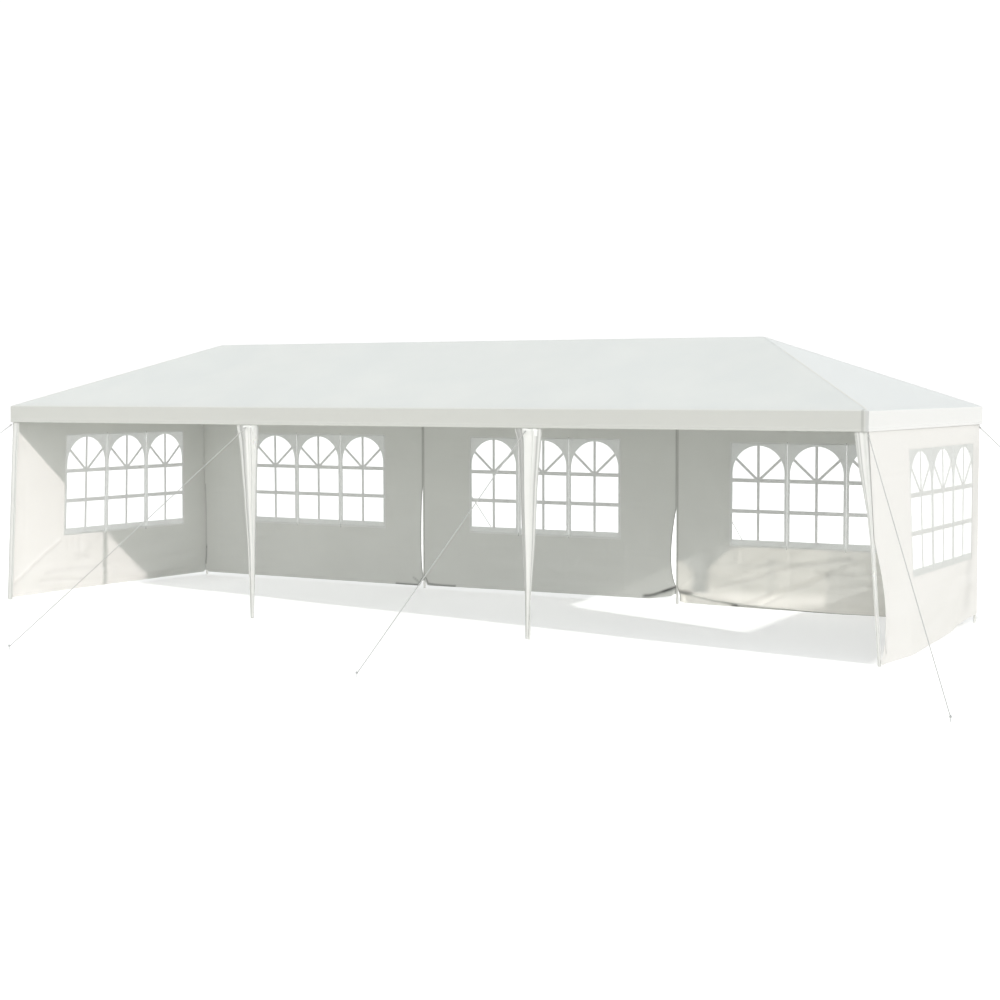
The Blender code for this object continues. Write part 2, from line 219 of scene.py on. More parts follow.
def clothMaterial(name, look):
    """Coated woven cloth: tape weave, soft crumple, faint mottle, stitched lines, light through it."""
    made, tree = startMaterial(name)
    place = addNode(tree, "ShaderNodeTexCoord").outputs["Object"]
    flat = addNode(tree, "ShaderNodeUVMap", uv_map="flat").outputs[0]
    split = addNode(tree, "ShaderNodeSeparateXYZ", {0: flat})
    mottle = addNode(tree, "ShaderNodeTexNoise", {"Vector": place, "Scale": look["mottleScale"], "Detail": 3.0})
    colour = mixColour(tree, ranged(tree, mottle.outputs[0], 0.35, 0.65, 0.0, 1.0), look["colour"], look["colour2"])
    waves = []
    for axis in (0, 1):
        turned = sumOf(tree, "MULTIPLY", split.outputs[axis], 2 * pi / look["weave"])
        waves.append(addNode(tree, "ShaderNodeMath", {0: turned}, operation="SINE").outputs[0])
    weave = sumOf(tree, "MULTIPLY", waves[0], waves[1])
    crumple = addNode(tree, "ShaderNodeTexNoise",
                      {"Vector": place, "Scale": look["crumpleScale"], "Detail": 4.0, "Roughness": 0.55,
                       "Distortion": 0.6})
    if "skirt" in look:
        # Painted shade: the right hip end is a touch greyer, and the hanging valance darker and warmer than the roof,
        # least on that end, for how the light falls on them
        where = addNode(tree, "ShaderNodeSeparateXYZ", {0: place})
        inward = addNode(tree, "ShaderNodeMath", {0: where.outputs[1]}, operation="ABSOLUTE").outputs[0]
        past = sumOf(tree, "SUBTRACT", where.outputs[0], sumOf(tree, "MULTIPLY", inward, 0.98))
        colour = mixColour(tree, ranged(tree, past, 3.02, 3.05, 0.0, 1.0), colour, look["hipEnd"])
        skirt = mixColour(tree, ranged(tree, where.outputs[0], 4.49, 4.52, 0.0, 1.0), look["skirt"], look["skirtEnd"])
        colour = mixColour(tree, ranged(tree, split.outputs[1], 0.16, 0.20, 1.0, 0.0), colour, skirt)
        # Seam down the valance's front right corner
        seam = sumOf(tree, "MULTIPLY", ranged(tree, where.outputs[0], 4.468, 4.474, 0.0, 1.0),
                     ranged(tree, where.outputs[0], 4.490, 4.496, 1.0, 0.0))
        seam = sumOf(tree, "MULTIPLY", seam, ranged(tree, where.outputs[1], -1.51, -1.50, 1.0, 0.0))
        colour = mixColour(tree, sumOf(tree, "MULTIPLY", seam, 0.35), colour, (0.45, 0.45, 0.43, 1))
    lines = None
    for across, value in look["stitches"]:
        line = stitchMask(tree, split.outputs[across], split.outputs[1 - across], value, 0.006)
        lines = line if lines is None else sumOf(tree, "MAXIMUM", lines, line)
    if lines is not None:
        colour = mixColour(tree, sumOf(tree, "MULTIPLY", lines, 0.5), colour, (0.5, 0.5, 0.48, 1))
    if "sunny" in look:
        # Painted sunlight: the sunlit right end wall is tinted warmer than the others
        along = addNode(tree, "ShaderNodeSeparateXYZ", {0: place}).outputs[0]
        colour = mixColour(tree, ranged(tree, along, 4.46, 4.49, 0.0, 1.0), colour, look["sunny"])
    if look.get("shaded"):
        # Painted shade and light: folds too sharp for the cloth's cells, and the drapes' pleats, are darker or lighter
        # lines written on its points
        fold = addNode(tree, "ShaderNodeAttribute", attribute_name="shade").outputs["Fac"]
        colour = mixColour(tree, ranged(tree, fold, 0.0, 1.0, 0.0, 1.0), colour, (0.16, 0.16, 0.155, 1))
        colour = mixColour(tree, ranged(tree, fold, -1.0, 0.0, 1.0, 0.0), colour, (0.97, 0.97, 0.95, 1))
    if "width" in look:
        # Painted shade: the side edges are a little greyer, as the joints between the walls fall in shade
        side = sumOf(tree, "MINIMUM", split.outputs[0], sumOf(tree, "SUBTRACT", look["width"], split.outputs[0]))
        colour = mixColour(tree, ranged(tree, side, 0.004, 0.016, 0.62, 0.0), colour, (0.36, 0.36, 0.34, 1))
    soft = addNode(tree, "ShaderNodeBump", {"Strength": look["crumple"], "Distance": 0.006,
                                            "Height": crumple.outputs[0]})
    fine = addNode(tree, "ShaderNodeBump", {"Strength": 0.25, "Distance": 0.0004, "Height": weave,
                                            "Normal": soft.outputs[0]})
    roughness = ranged(tree, mottle.outputs[0], 0.3, 0.7, look["roughness"] - 0.05, look["roughness"] + 0.06)
    body = addNode(tree, "ShaderNodeBsdfPrincipled",
                   {"Base Color": colour, "Roughness": roughness, "Normal": fine.outputs[0],
                    "Specular IOR Level": 0.35, "Sheen Weight": 0.05})
    through = addNode(tree, "ShaderNodeBsdfTranslucent", {"Color": colour, "Normal": fine.outputs[0]})
    both = addNode(tree, "ShaderNodeMixShader", {0: look["through"], 1: body.outputs[0], 2: through.outputs[0]})
    addNode(tree, "ShaderNodeOutputMaterial", {"Surface": both.outputs[0]})
    return made


def steelMaterial(name, look):
    """White powder-coated steel tube with a faint orange-peel skin and slight yellowing."""
    made, tree = startMaterial(name)
    place = addNode(tree, "ShaderNodeTexCoord").outputs["Object"]
    tone = addNode(tree, "ShaderNodeTexNoise", {"Vector": place, "Scale": 3.0, "Detail": 3.0})
    colour = mixColour(tree, ranged(tree, tone.outputs[0], 0.3, 0.7, 0.0, 1.0), look["colour"], look["colour2"])
    skin = addNode(tree, "ShaderNodeTexNoise", {"Vector": place, "Scale": 900.0, "Detail": 1.0})
    bump = addNode(tree, "ShaderNodeBump", {"Strength": 0.12, "Distance": 0.0003, "Height": skin.outputs[0]})
    roughness = ranged(tree, tone.outputs[0], 0.3, 0.7, look["roughness"], look["roughness"] + 0.1)
    body = addNode(tree, "ShaderNodeBsdfPrincipled",
                   {"Base Color": colour, "Roughness": roughness, "Normal": bump.outputs[0], "Coat Weight": 0.25,
                    "Coat Roughness": 0.2})
    addNode(tree, "ShaderNodeOutputMaterial", {"Surface": body.outputs[0]})
    return made


def filmMaterial(name, look):
    """Clear flexible window film with a little haze; where the sun stands on it, milky white as painted reflection of
    the sky.
    """
    made, tree = startMaterial(name)
    place = addNode(tree, "ShaderNodeTexCoord").outputs["Object"]
    haze = addNode(tree, "ShaderNodeTexNoise", {"Vector": place, "Scale": 5.0, "Detail": 3.0})
    seen = ranged(tree, haze.outputs[0], 0.3, 0.7, look["seen"] - 0.02, look["seen"] + 0.02)
    wave = addNode(tree, "ShaderNodeTexNoise", {"Vector": place, "Scale": 2.5, "Detail": 2.0})
    bump = addNode(tree, "ShaderNodeBump", {"Strength": 0.2, "Distance": 0.02, "Height": wave.outputs[0]})
    body = addNode(tree, "ShaderNodeBsdfPrincipled",
                   {"Base Color": look["colour"], "Roughness": 0.12, "Normal": bump.outputs[0]})
    through = addNode(tree, "ShaderNodeBsdfTranslucent", {"Color": look["colour"]})
    milk = addNode(tree, "ShaderNodeMixShader", {0: look["milk"], 1: body.outputs[0], 2: through.outputs[0]})
    clear = addNode(tree, "ShaderNodeBsdfTransparent", {"Color": (1, 1, 1, 1)})
    both = addNode(tree, "ShaderNodeMixShader", {0: seen, 1: clear.outputs[0], 2: milk.outputs[0]})
    addNode(tree, "ShaderNodeOutputMaterial", {"Surface": both.outputs[0]})
    return made


def ropeMaterial(name, look):
    """Three-strand laid rope: the strands wind along the tube's own UV map."""
    made, tree = startMaterial(name)
    flat = addNode(tree, "ShaderNodeUVMap", uv_map="flat").outputs[0]
    split = addNode(tree, "ShaderNodeSeparateXYZ", {0: flat})
    turns = sumOf(tree, "MULTIPLY", split.outputs[1], 1 / look["lay"])
    wound = sumOf(tree, "ADD", sumOf(tree, "MULTIPLY", split.outputs[0], 3.0), turns)
    strand = addNode(tree, "ShaderNodeMath", {0: sumOf(tree, "MULTIPLY", wound, pi)}, operation="SINE").outputs[0]
    ridge = addNode(tree, "ShaderNodeMath", {0: strand}, operation="ABSOLUTE").outputs[0]
    # The grooves between the strands are painted darker: painted shade in the recesses
    colour = mixColour(tree, ridge, look["groove"], look["colour"])
    bump = addNode(tree, "ShaderNodeBump", {"Strength": 0.8, "Distance": 0.0008, "Height": ridge})
    body = addNode(tree, "ShaderNodeBsdfPrincipled",
                   {"Base Color": colour, "Roughness": 0.75, "Normal": bump.outputs[0], "Sheen Weight": 0.15})
    addNode(tree, "ShaderNodeOutputMaterial", {"Surface": body.outputs[0]})
    return made


def wireMaterial(name, look):
    """Galvanised wire of the ground stakes, with a dull spangle."""
    made, tree = startMaterial(name)
    place = addNode(tree, "ShaderNodeTexCoord").outputs["Object"]
    spangle = addNode(tree, "ShaderNodeTexVoronoi", {"Vector": place, "Scale": 400.0})
    colour = mixColour(tree, ranged(tree, spangle.outputs[0], 0.0, 0.8, 0.0, 1.0), look["colour"], look["colour2"])
    body = addNode(tree, "ShaderNodeBsdfPrincipled", {"Base Color": colour, "Roughness": 0.42, "Metallic": 0.85})
    addNode(tree, "ShaderNodeOutputMaterial", {"Surface": body.outputs[0]})
    return made


clothLook = {"colour": (0.885, 0.895, 0.88, 1), "colour2": (0.86, 0.875, 0.865, 1), "mottleScale": 1.6, "weave": 0.004,
             "crumpleScale": 7.0, "crumple": 0.3, "roughness": 0.5, "through": 0.25, "stitches": []}
coverMaterial = clothMaterial("coverCloth", {**clothLook, "stitches": [(1, 0.022)], "skirt": (0.885, 0.880, 0.848, 1),
                                            "skirtEnd": (0.890, 0.885, 0.880, 1), "hipEnd": (0.835, 0.850, 0.850, 1)})
wallMaterial = clothMaterial("wallCloth", {**clothLook, "colour": (0.86, 0.865, 0.84, 1),
                                           "colour2": (0.84, 0.845, 0.82, 1), "stitches": [(1, 0.050)],
                                           "width": 3.0, "shaded": True, "sunny": (0.865, 0.850, 0.835, 1)})
drapeMaterial = clothMaterial("drapeCloth", {**clothLook, "colour": (0.91, 0.91, 0.89, 1),
                                             "colour2": (0.89, 0.89, 0.87, 1), "crumpleScale": 14.0,
                                             "shaded": True})
bindingMaterial = clothMaterial("bindingTape", {**clothLook, "colour": (0.91, 0.915, 0.90, 1),
                                                "colour2": (0.89, 0.895, 0.88, 1), "weave": 0.002,
                                                "crumpleScale": 30.0, "through": 0.1})
printLook = {**clothLook, "colour": (0.88, 0.885, 0.875, 1), "colour2": (0.86, 0.865, 0.855, 1), "crumple": 0.1,
             "through": 0.57, "roughness": 0.35}
printMaterial = clothMaterial("windowPrint", printLook)
printSunlit = clothMaterial("sunlitPrint", {**printLook, "through": 0.46})
barMaterial = clothMaterial("windowBars", {**clothLook, "colour": (0.86, 0.86, 0.85, 1),
                                           "colour2": (0.83, 0.83, 0.82, 1), "crumple": 0.05, "through": 0.42,
                                           "roughness": 0.35})
filmClear = filmMaterial("windowFilm", {"colour": (0.95, 0.97, 0.98, 1), "seen": 0.055, "milk": 0.2})
filmSeam = filmMaterial("filmSeam", {"colour": (0.94, 0.95, 0.94, 1), "seen": 0.35, "milk": 0.6})
# The right end's film is made milky white: painted reflection of the sky on its sunlit panes
filmSunlit = filmMaterial("sunlitFilm", {"colour": (0.97, 0.98, 0.98, 1), "seen": 0.82, "milk": 0.20})
steelWhite = steelMaterial("whiteTube", {"colour": (0.80, 0.80, 0.78, 1), "colour2": (0.76, 0.76, 0.73, 1),
                                         "roughness": 0.3})
ropeWhite = ropeMaterial("whiteRope", {"colour": (0.72, 0.72, 0.705, 1), "groove": (0.64, 0.64, 0.63, 1), "lay": 0.012})
stakeWire = wireMaterial("stakeWire", {"colour": (0.80, 0.81, 0.82, 1), "colour2": (0.70, 0.71, 0.72, 1)})
print("materials made")

# Tubes of the frame keep their solids and get the coated finish
for name, node in frame["nodes"].items():
    if name.endswith(("_leg", "_rail", "_rafter", "ridge_pole")):
        node.data.materials.clear()
        node.data.materials.append(steelWhite)


# Roof cover with its valance, one sewn sheet
cover = {"offset": 0.0172, "thickness": 0.001, "halfDepth": 1.5342, "halfLength": 4.5337, "rows": 34, "endColumns": 34,
         "midColumns": 110, "sag": 0.020, "endSag": 0.014, "ripple": 0.0022, "fold": 0.005, "drop": 0.163,
         "valanceRows": [0.02, 0.045, 0.07, 0.095, 0.118, 0.139, 0.1405], "wave": 0.0035}


def slopeHeights(x, y):
    longSlope = (tent["halfDepth"] - abs(y)) * frontSlope + cover["offset"] * sqrt(1 + frontSlope ** 2)
    endPlane = (tent["halfLength"] - abs(x)) * endSlope + cover["offset"] * sqrt(1 + endSlope ** 2)
    return tent["railHeight"] + longSlope, tent["railHeight"] + endPlane


def coverSag(x, y, onEnd):
    if onEnd:
        down = (abs(x) - tent["ridgeHalf"]) / (tent["halfLength"] - tent["ridgeHalf"])
        if not 0 < down < 1:
            return 0.0
        across = min(abs(y) / (down * tent["halfDepth"]), 1.0)
        return cover["endSag"] * sin(pi * down) * cos(pi * across / 2) ** 1.2
    down = min(abs(y) / tent["halfDepth"], 1.0)
    half = tent["bay"] / 2
    if abs(x) < half:
        along = cos(pi * x / (2 * half)) ** 1.2
    else:
        hip = tent["ridgeHalf"] + down * (tent["halfLength"] - tent["ridgeHalf"])
        along = sin(pi * min((abs(x) - half) / (hip - half), 1.0)) ** 1.2 if abs(x) < hip else 0.0
    return cover["sag"] * sin(pi * down) ** 0.8 * along


def coverPoint(x, y):
    longZ, endZ = slopeHeights(x, y)
    onEnd = endZ < longZ
    sag = coverSag(x, y, onEnd)
    ripple = cover["ripple"] * rippleAt(x * 1.7, y * 1.9, 3.1) * min(sag / 0.006, 1.0)
    return Vector((x, y, min(longZ, endZ) - sag + ripple))


def makeCover():
    deselectAll()
    columns = cover["midColumns"] + 2 * cover["endColumns"]
    bpy.ops.mesh.primitive_grid_add(x_subdivisions=columns, y_subdivisions=2 * cover["rows"], size=1)
    item = bpy.context.object
    item.name = "roof_cover"
    endShare = cover["endColumns"] / columns
    flatHalf, flatDepth = cover["halfLength"] - cover["fold"], cover["halfDepth"] - cover["fold"]

    def spreadX(t):
        t, side = abs(2 * t), (1 if t > 0 else -1)
        inner = 1 - 2 * endShare
        if t <= inner:
            return side * tent["ridgeHalf"] * t / inner
        return side * (tent["ridgeHalf"] + (flatHalf - tent["ridgeHalf"]) * (t - inner) / (1 - inner))

    movePoints(item, lambda p: coverPoint(spreadX(p.x), 2 * p.y * flatDepth))
    bm = bmesh.new()
    bm.from_mesh(item.data)
    # The hips run along the cells' diagonals
    for face in list(bm.faces):
        onHip = [v for v in face.verts if abs(slopeHeights(v.co.x, v.co.y)[0] - slopeHeights(v.co.x, v.co.y)[1]) < 0.004]
        if len(onHip) == 2 and abs(face.calc_center_median().x) > tent["ridgeHalf"]:
            if not any(set(edge.verts) == set(onHip) for edge in face.edges):
                bmesh.ops.connect_vert_pair(bm, verts=onHip)
    # The valance hangs from the edge in rows, with a small fold where it turns down
    edge = [e for e in bm.edges if e.is_boundary]
    rings = [(0.55, 0.0012), (1.0, 0.005)] + [(1.0, depth) for depth in cover["valanceRows"]] + [(1.0, cover["drop"])]
    tops = {v: v.co.copy() for e in edge for v in e.verts}
    for out, down in rings:
        grown = bmesh.ops.extrude_edge_only(bm, edges=edge)["geom"]
        fresh = [g for g in grown if isinstance(g, bmesh.types.BMVert)]
        edge = [g for g in grown if isinstance(g, bmesh.types.BMEdge) and g.is_boundary]
        moved = {}
        for v in fresh:
            old = min((t for t in v.link_edges if t.other_vert(v) in tops), key=lambda e: e.calc_length())
            top = tops[old.other_vert(v)]
            atEnd = abs(abs(top.x) - flatHalf) < 1e-4
            atSide = abs(abs(top.y) - flatDepth) < 1e-4
            shiftX = (1 if top.x > 0 else -1) * cover["fold"] * out if atEnd else 0.0
            shiftY = (1 if top.y > 0 else -1) * cover["fold"] * out if atSide else 0.0
            v.co = top + Vector((shiftX, shiftY, -down))
            sway = cover["wave"] * smooth(down / cover["drop"]) * rippleAt(top.x * 0.9 + top.y * 2.1, down * 3, 8.4)
            hem = 0.0006 if down > cover["valanceRows"][-2] else 0.0
            v.co.x += (sway + hem) * (1 if top.x > 0 else -1) * atEnd
            v.co.y += (sway + hem) * (1 if top.y > 0 else -1) * atSide
            moved[v] = top
        tops = moved
    bmesh.ops.recalc_face_normals(bm, faces=bm.faces)
    bm.to_mesh(item.data)
    bm.free()
    thicken(item, cover["thickness"])
    bottom = tent["railHeight"] + 0.006 - cover["drop"]
    paintFlat(item, lambda p: (p.x + p.y, p.z - bottom if p.z < tent["railHeight"] + 0.004 else
                               0.2 + sqrt(1 + frontSlope ** 2) * (tent["halfDepth"] - abs(p.y))))
    finishPiece(item, coverMaterial, "cover_cloth",
                [f"roof_{p}_panel" for p in ("front", "back", "left", "right")]
                + [f"{p}_valance" for p in ("front", "back", "left", "right")], angle=22)
    return item


def makeSeamTape(name, lines, width, lift):
    """Sewn seam tapes over the cover, along lines of points."""
    bm = bmesh.new()
    for line in lines:
        rows = []
        for index, point in enumerate(line):
            ahead = (line[min(index + 1, len(line) - 1)] - line[max(index - 1, 0)]).normalized()
            side = ahead.cross(Vector((0, 0, 1))).normalized()
            row = []
            for across in (-1, -0.5, 0, 0.5, 1):
                spot = point + side * across * width / 2
                z = coverPoint(spot.x, spot.y).z + lift
                row.append(bm.verts.new((spot.x, spot.y, z)))
            rows.append(row)
        for near, far in zip(rows, rows[1:]):
            for a in range(4):
                bm.faces.new((near[a], near[a + 1], far[a + 1], far[a]))
    bmesh.ops.recalc_face_normals(bm, faces=bm.faces)
    mesh = bpy.data.meshes.new(name)
    bm.to_mesh(mesh)
    bm.free()
    item = bpy.data.objects.new(name, mesh)
    bpy.context.scene.collection.objects.link(item)
    thicken(item, 0.0008)
    paintFlat(item, lambda p: (p.x + p.y, 0.5 + p.y))
    finishPiece(item, coverMaterial, "cover_cloth")
    return item


roofCover = makeCover()
hipLines = []
for sideX in (-1, 1):
    for sideY in (-1, 1):
        hipLines.append([Vector((sideX * (tent["ridgeHalf"] + t * 1.49), sideY * t * 1.49 * 1.5 / 1.47, 0))
                         for t in [0.01 + i * 0.98 / 40 for i in range(41)]])
seamTapes = makeSeamTape("hip_seam_tapes", hipLines, 0.016, 0.0011)
print("roof cover sewn")


# Walls: flat sheets with a window patch, then hung, wrinkled and pulled to their legs
wallTop, wallBottom = 1.958, 0.022
backWallY, endWallX = tent["halfDepth"] - tent["branch"], tent["halfLength"] + tent["branch"]
wallDetail = {"thickness": 0.001, "cell": 0.022, "fine": 0.010, "patchHalf": 0.897, "patchLow": 0.622, "patchHigh": 1.647,
              "middle": 1.152, "overlap": 0.016}
# Each wall: its span, its window (place along, rise, scale), lift of its bottom edge, slits beside the legs,
# lifted corners and strength of its folds; its strokes are drawn folds (line, half width, push out, tone),
# whose tone is painted shade where above 0 and painted light where below
walls = {
    "back_left": {
        "span": (-4.512, -1.504), "window": (-2.885, 0.008, 1.0), "lift": [(-4.5, 0.012), (-1.6, 0.002)], "plain": (0.1, 0.0),
        "slits": [{"edge": 1, "low": 0.16, "high": 1.09, "depth": 0.024, "round": 0.6},
                  {"edge": 0, "low": 0.16, "high": 1.20, "depth": 0.016, "round": 0.6}],
        "corners": [(1, 0.060), (0, 0.03)], "folds": 0.6, "seed": 1.3,
        "strokes": [([(-1.85, 0.030), (-1.56, 0.029), (-1.525, 0.08)], 0.010, 0.0, 0.75),
                    ([(-1.626, 0.106), (-1.546, 0.047)], 0.009, 0.004, 0.4),
                    ([(-4.502, 0.115), (-4.502, 0.33)], 0.008, 0.0, 0.55),
                    ([(-4.505, 0.32), (-4.508, 1.05)], 0.007, 0.0, 0.35)]},
    "back_mid": {
        "span": (-1.496, 1.496), "window": (-0.02, 0.0, 1.0), "plain": (0.0, 0.0),
        "lift": [(-1.5, 0.010), (0.9, 0.017), (1.2, 0.019), (1.40, 0.050), (1.48, 0.060)],
        "slits": [{"edge": 1, "low": 0.13, "high": 0.955, "depth": 0.056, "round": 0.85}],
        "corners": [(0, 0.060), (1, 0.02)], "folds": 0.8, "seed": 4.7,
        "strokes": [([(-1.47, 0.09), (-1.443, 0.040), (-1.33, 0.033), (-1.1, 0.032)], 0.010, 0.0, 0.7),
                    ([(1.14, 0.046), (1.25, 0.056), (1.36, 0.080), (1.48, 0.112)], 0.015, 0.010, 0.75),
                    ([(1.36, 0.075), (1.48, 0.092)], 0.016, 0.0, 0.35),
                    ([(1.403, 0.20), (1.471, 0.135)], 0.010, -0.004, -0.5),
                    ([(0.933, 0.545), (0.94, 0.293), (0.934, 0.117)], 0.012, -0.004, -0.25),
                    ([(0.048, 0.308), (0.183, 0.255), (0.318, 0.282), (0.385, 0.384)], 0.022, -0.004, -0.10)]},
    "back_right": {
        "span": (1.504, 4.512), "window": (2.965, -0.018, 1.0), "lift": [(1.5, -0.006), (3.9, -0.018), (4.3, 0.030), (4.5, 0.058)], "plain": (0.0, 0.1),
        "slits": [{"edge": 0, "low": -0.04, "high": 0.17, "depth": 0.034, "round": 0.6}],
        "corners": [(0, 0.015)], "folds": 1.2, "seed": 9.2,
        "strokes": [([(1.51, 0.130), (1.64, 0.122), (1.78, 0.104), (1.98, 0.070), (2.15, 0.038)], 0.020, 0.0, 0.72),
                    ([(2.10, 0.032), (2.6, 0.026), (3.2, 0.020), (4.4, 0.008)], 0.009, 0.0, 0.6),
                    ([(1.9, 0.178), (2.1, 0.237), (2.31, 0.29), (2.5, 0.37), (2.81, 0.445), (3.07, 0.487), (3.3, 0.52)],
                     0.018, 0.010, 0.09),
                    ([(2.43, 0.06), (2.66, 0.184), (2.90, 0.266), (3.07, 0.357)], 0.016, 0.010, 0.09),
                    ([(1.55, 0.17), (1.68, 0.27)], 0.012, -0.006, -0.25),
                    ([(1.70, 0.085), (2.05, 0.100), (2.58, 0.100), (3.02, 0.125)], 0.055, 0.0, -0.95),
                    ([(2.95, 0.385), (3.255, 0.373), (3.44, 0.389), (3.7, 0.40)], 0.020, 0.006, 0.05),
                    ([(3.1, 0.249), (3.3, 0.262), (3.52, 0.299)], 0.018, 0.006, 0.05)]},
    "left": {
        "span": (-1.512, 1.512), "window": (0.19, 0.010, 1.05), "lift": [(-1.5, -0.006), (1.5, 0.012)], "plain": (0.1, 0.1),
        "slits": [], "corners": [(1, 0.03)], "folds": 2.0, "seed": 13.4,
        "strokes": [([(-0.811, 0.567), (-1.025, 0.443), (-1.222, 0.319), (-1.443, 0.186)], 0.014, -0.012, -0.6),
                    ([(-0.83, 0.52), (-1.04, 0.40), (-1.24, 0.27), (-1.44, 0.14)], 0.030, 0.006, 0.06),
                    ([(-0.704, 0.58), (-0.69, 0.467)], 0.018, 0.004, 0.04),
                    ([(-0.609, 0.573), (-0.606, 0.481)], 0.018, 0.004, 0.03),
                    ([(-0.522, 0.567), (-0.511, 0.412)], 0.018, 0.004, 0.05),
                    ([(-1.016, 0.231), (-0.602, 0.246), (-0.249, 0.236)], 0.018, 0.008, 0.07),
                    ([(-1.074, 0.146), (-0.806, 0.152), (-0.459, 0.11)], 0.018, 0.008, 0.06),
                    ([(-0.57, 0.396), (-0.366, 0.339)], 0.018, 0.006, 0.05)]},
    "right": {
        "span": (-1.512, 1.512), "window": (0.385, -0.004, 1.05), "plain": (0.1, 0.1),
        "lift": [(-1.5, -0.015), (0.2, -0.012), (0.7, 0.0), (0.95, 0.025), (1.3, 0.052), (1.5, 0.060)],
        "slits": [{"edge": 0, "low": 0.04, "high": 0.98, "depth": 0.17, "round": 1.0}],
        "corners": [(0, 0.02)], "folds": 1.0, "seed": 21.8,
        "strokes": [([(-1.50, 0.20), (-1.46, 0.13), (-1.40, 0.10)], 0.012, 0.006, 0.3),
                    ([(1.42, 1.55), (1.40, 1.10), (1.30, 0.70), (1.22, 0.45), (1.19, 0.20)], 0.11, 0.0, 0.10)]},
}


def strokeAt(line, half, u, v):
    """How near a point of the wall is to a drawn fold: 1 on its line, 0 beside it."""
    best = 9.0
    for (x0, z0), (x1, z1) in zip(line, line[1:]):
        run, rise = x1 - x0, z1 - z0
        t = max(0.0, min(1.0, ((u - x0) * run + (v - z0) * rise) / (run * run + rise * rise)))
        best = min(best, hypot(u - x0 - t * run, v - z0 - t * rise))
    return exp(-(best / half) ** 2) if best < 3 * half else 0.0


def foldShade(wall, u, v):
    return max(-1.0, min(1.0, sum(tone * strokeAt(line, half, u, v) for line, half, push, tone in wall["strokes"])))


def legLean(z):
    return tent["splay"] * (1 - z / tent["railHeight"])


def patchSpan(wall):
    """Where the window patch sits in its wall: left, right, low and high edge."""
    centre, rise, scale = wall["window"]
    middle, half = wallDetail["middle"], scale * wallDetail["patchHalf"]
    return (centre - half, centre + half, middle + rise + scale * (wallDetail["patchLow"] - middle),
            middle + rise + scale * (wallDetail["patchHigh"] - middle))


def wallRelief(wall, u, v):
    """How far the hung cloth stands out of its flat plane, outwards."""
    first, last = wall["span"]
    seed, folds = wall["seed"], wall["folds"]
    edge = smooth((u - first) / 0.22) * smooth((last - u) / 0.22)
    top = smooth((wallTop - v) / 0.25)
    left, right, patchLow, patchHigh = patchSpan(wall)
    inPatch = (smooth((u - left + 0.1) / 0.1) * smooth((right + 0.1 - u) / 0.1)
               * smooth((v - patchLow + 0.06) / 0.08) * smooth((patchHigh + 0.07 - v) / 0.07))
    belly = 0.010 * rippleAt(u * 0.8, v * 0.8, seed) + 0.004 * rippleAt(u * 2.2, v * 2.0, seed + 3)
    low = smooth((0.72 - v) / 0.35)
    sway = rippleAt(u * 0.7 + 0.35 * v, v * 6.5 + 0.8 * sin(u * 1.3 + seed), seed + 7)
    fine = rippleAt(u * 2.4 - v * 1.3, v * 13.0, seed + 11)
    wrinkles = folds * low * (0.012 * sway + 0.0035 * fine)
    packed = 0.0
    for step in range(-3, 4):
        packed += 0.0022 * exp(-((u - 0.2 - 0.5 * step - 3 * round(first / 3)) / 0.012) ** 2)
    for height in (0.48, 0.97, 1.45):
        packed -= 0.0020 * exp(-((v - height) / 0.012) ** 2)
    drawn = sum(push * strokeAt(line, half, u, v) for line, half, push, tone in wall["strokes"])
    return edge * top * (belly * (1 - 0.6 * inPatch) + wrinkles + packed * (1 - inPatch)) + drawn


def hangWall(wall, name):
    """Returns the function that takes a point of the flat wall (along, out, up) to where it hangs."""
    first, last = wall["span"]

    def place(p):
        u, d, v = p.x, p.y, p.z
        for slit in wall["slits"]:
            if slit["low"] < v < slit["high"]:
                share = (v - slit["low"]) / (slit["high"] - slit["low"])
                pull = slit["depth"] * sin(pi * share ** 0.8) ** slit["round"]
                reach = last - p.x if slit["edge"] else p.x - first
                u += (-1 if slit["edge"] else 1) * pull * smooth(1 - reach / 0.4)
        v += between(wall["lift"], p.x) * smooth(1 - (v - wallBottom) / 0.5)
        for corner, up in wall["corners"]:
            reach = last - p.x if corner else p.x - first
            v += up * smooth(1 - reach / 0.055) * smooth(1 - (p.z - wallBottom) / 0.12)
        d += wallRelief(wall, p.x, p.z)
        if name.startswith("back"):
            if name == "back_right":
                # The hem band flares inwards under its seam and curls back below the crease
                seam = 0.136 + 0.041 * (p.x - 1.53)
                crease = between([(1.5, 0.133), (1.915, 0.072), (2.29, 0.052), (3.07, 0.028), (4.5, 0.0)], p.x)
                ends = smooth((p.x - 1.52) / 0.06) * smooth((3.6 - p.x) / 0.5)
                d -= ends * 0.30 * max(0.0, seam - max(p.z, crease))
                d += ends * 0.020 * smooth((crease - p.z) / 0.02)
            if name == "back_mid":
                d -= 0.02 * smooth((0.14 - p.z) / 0.12) * smooth((p.x - 1.15) / 0.25) * smooth((1.49 - p.x) / 0.03)
            return Vector((u, backWallY - 0.001 + d, v))
        side = 1 if name == "right" else -1
        lean = legLean(v) * (0.5 - p.x / (2 * tent["halfDepth"]))
        if name == "right":
            bulge = between([(-1.5, 0.0), (-1.39, -0.004), (-0.79, 0.046), (0.1, 0.016), (0.93, -0.022), (1.5, 0.0)], p.x)
            d += bulge * smooth((0.75 - p.z) / 0.75)
        return Vector((side * (endWallX + 0.001 + lean + d), u, v))

    return place


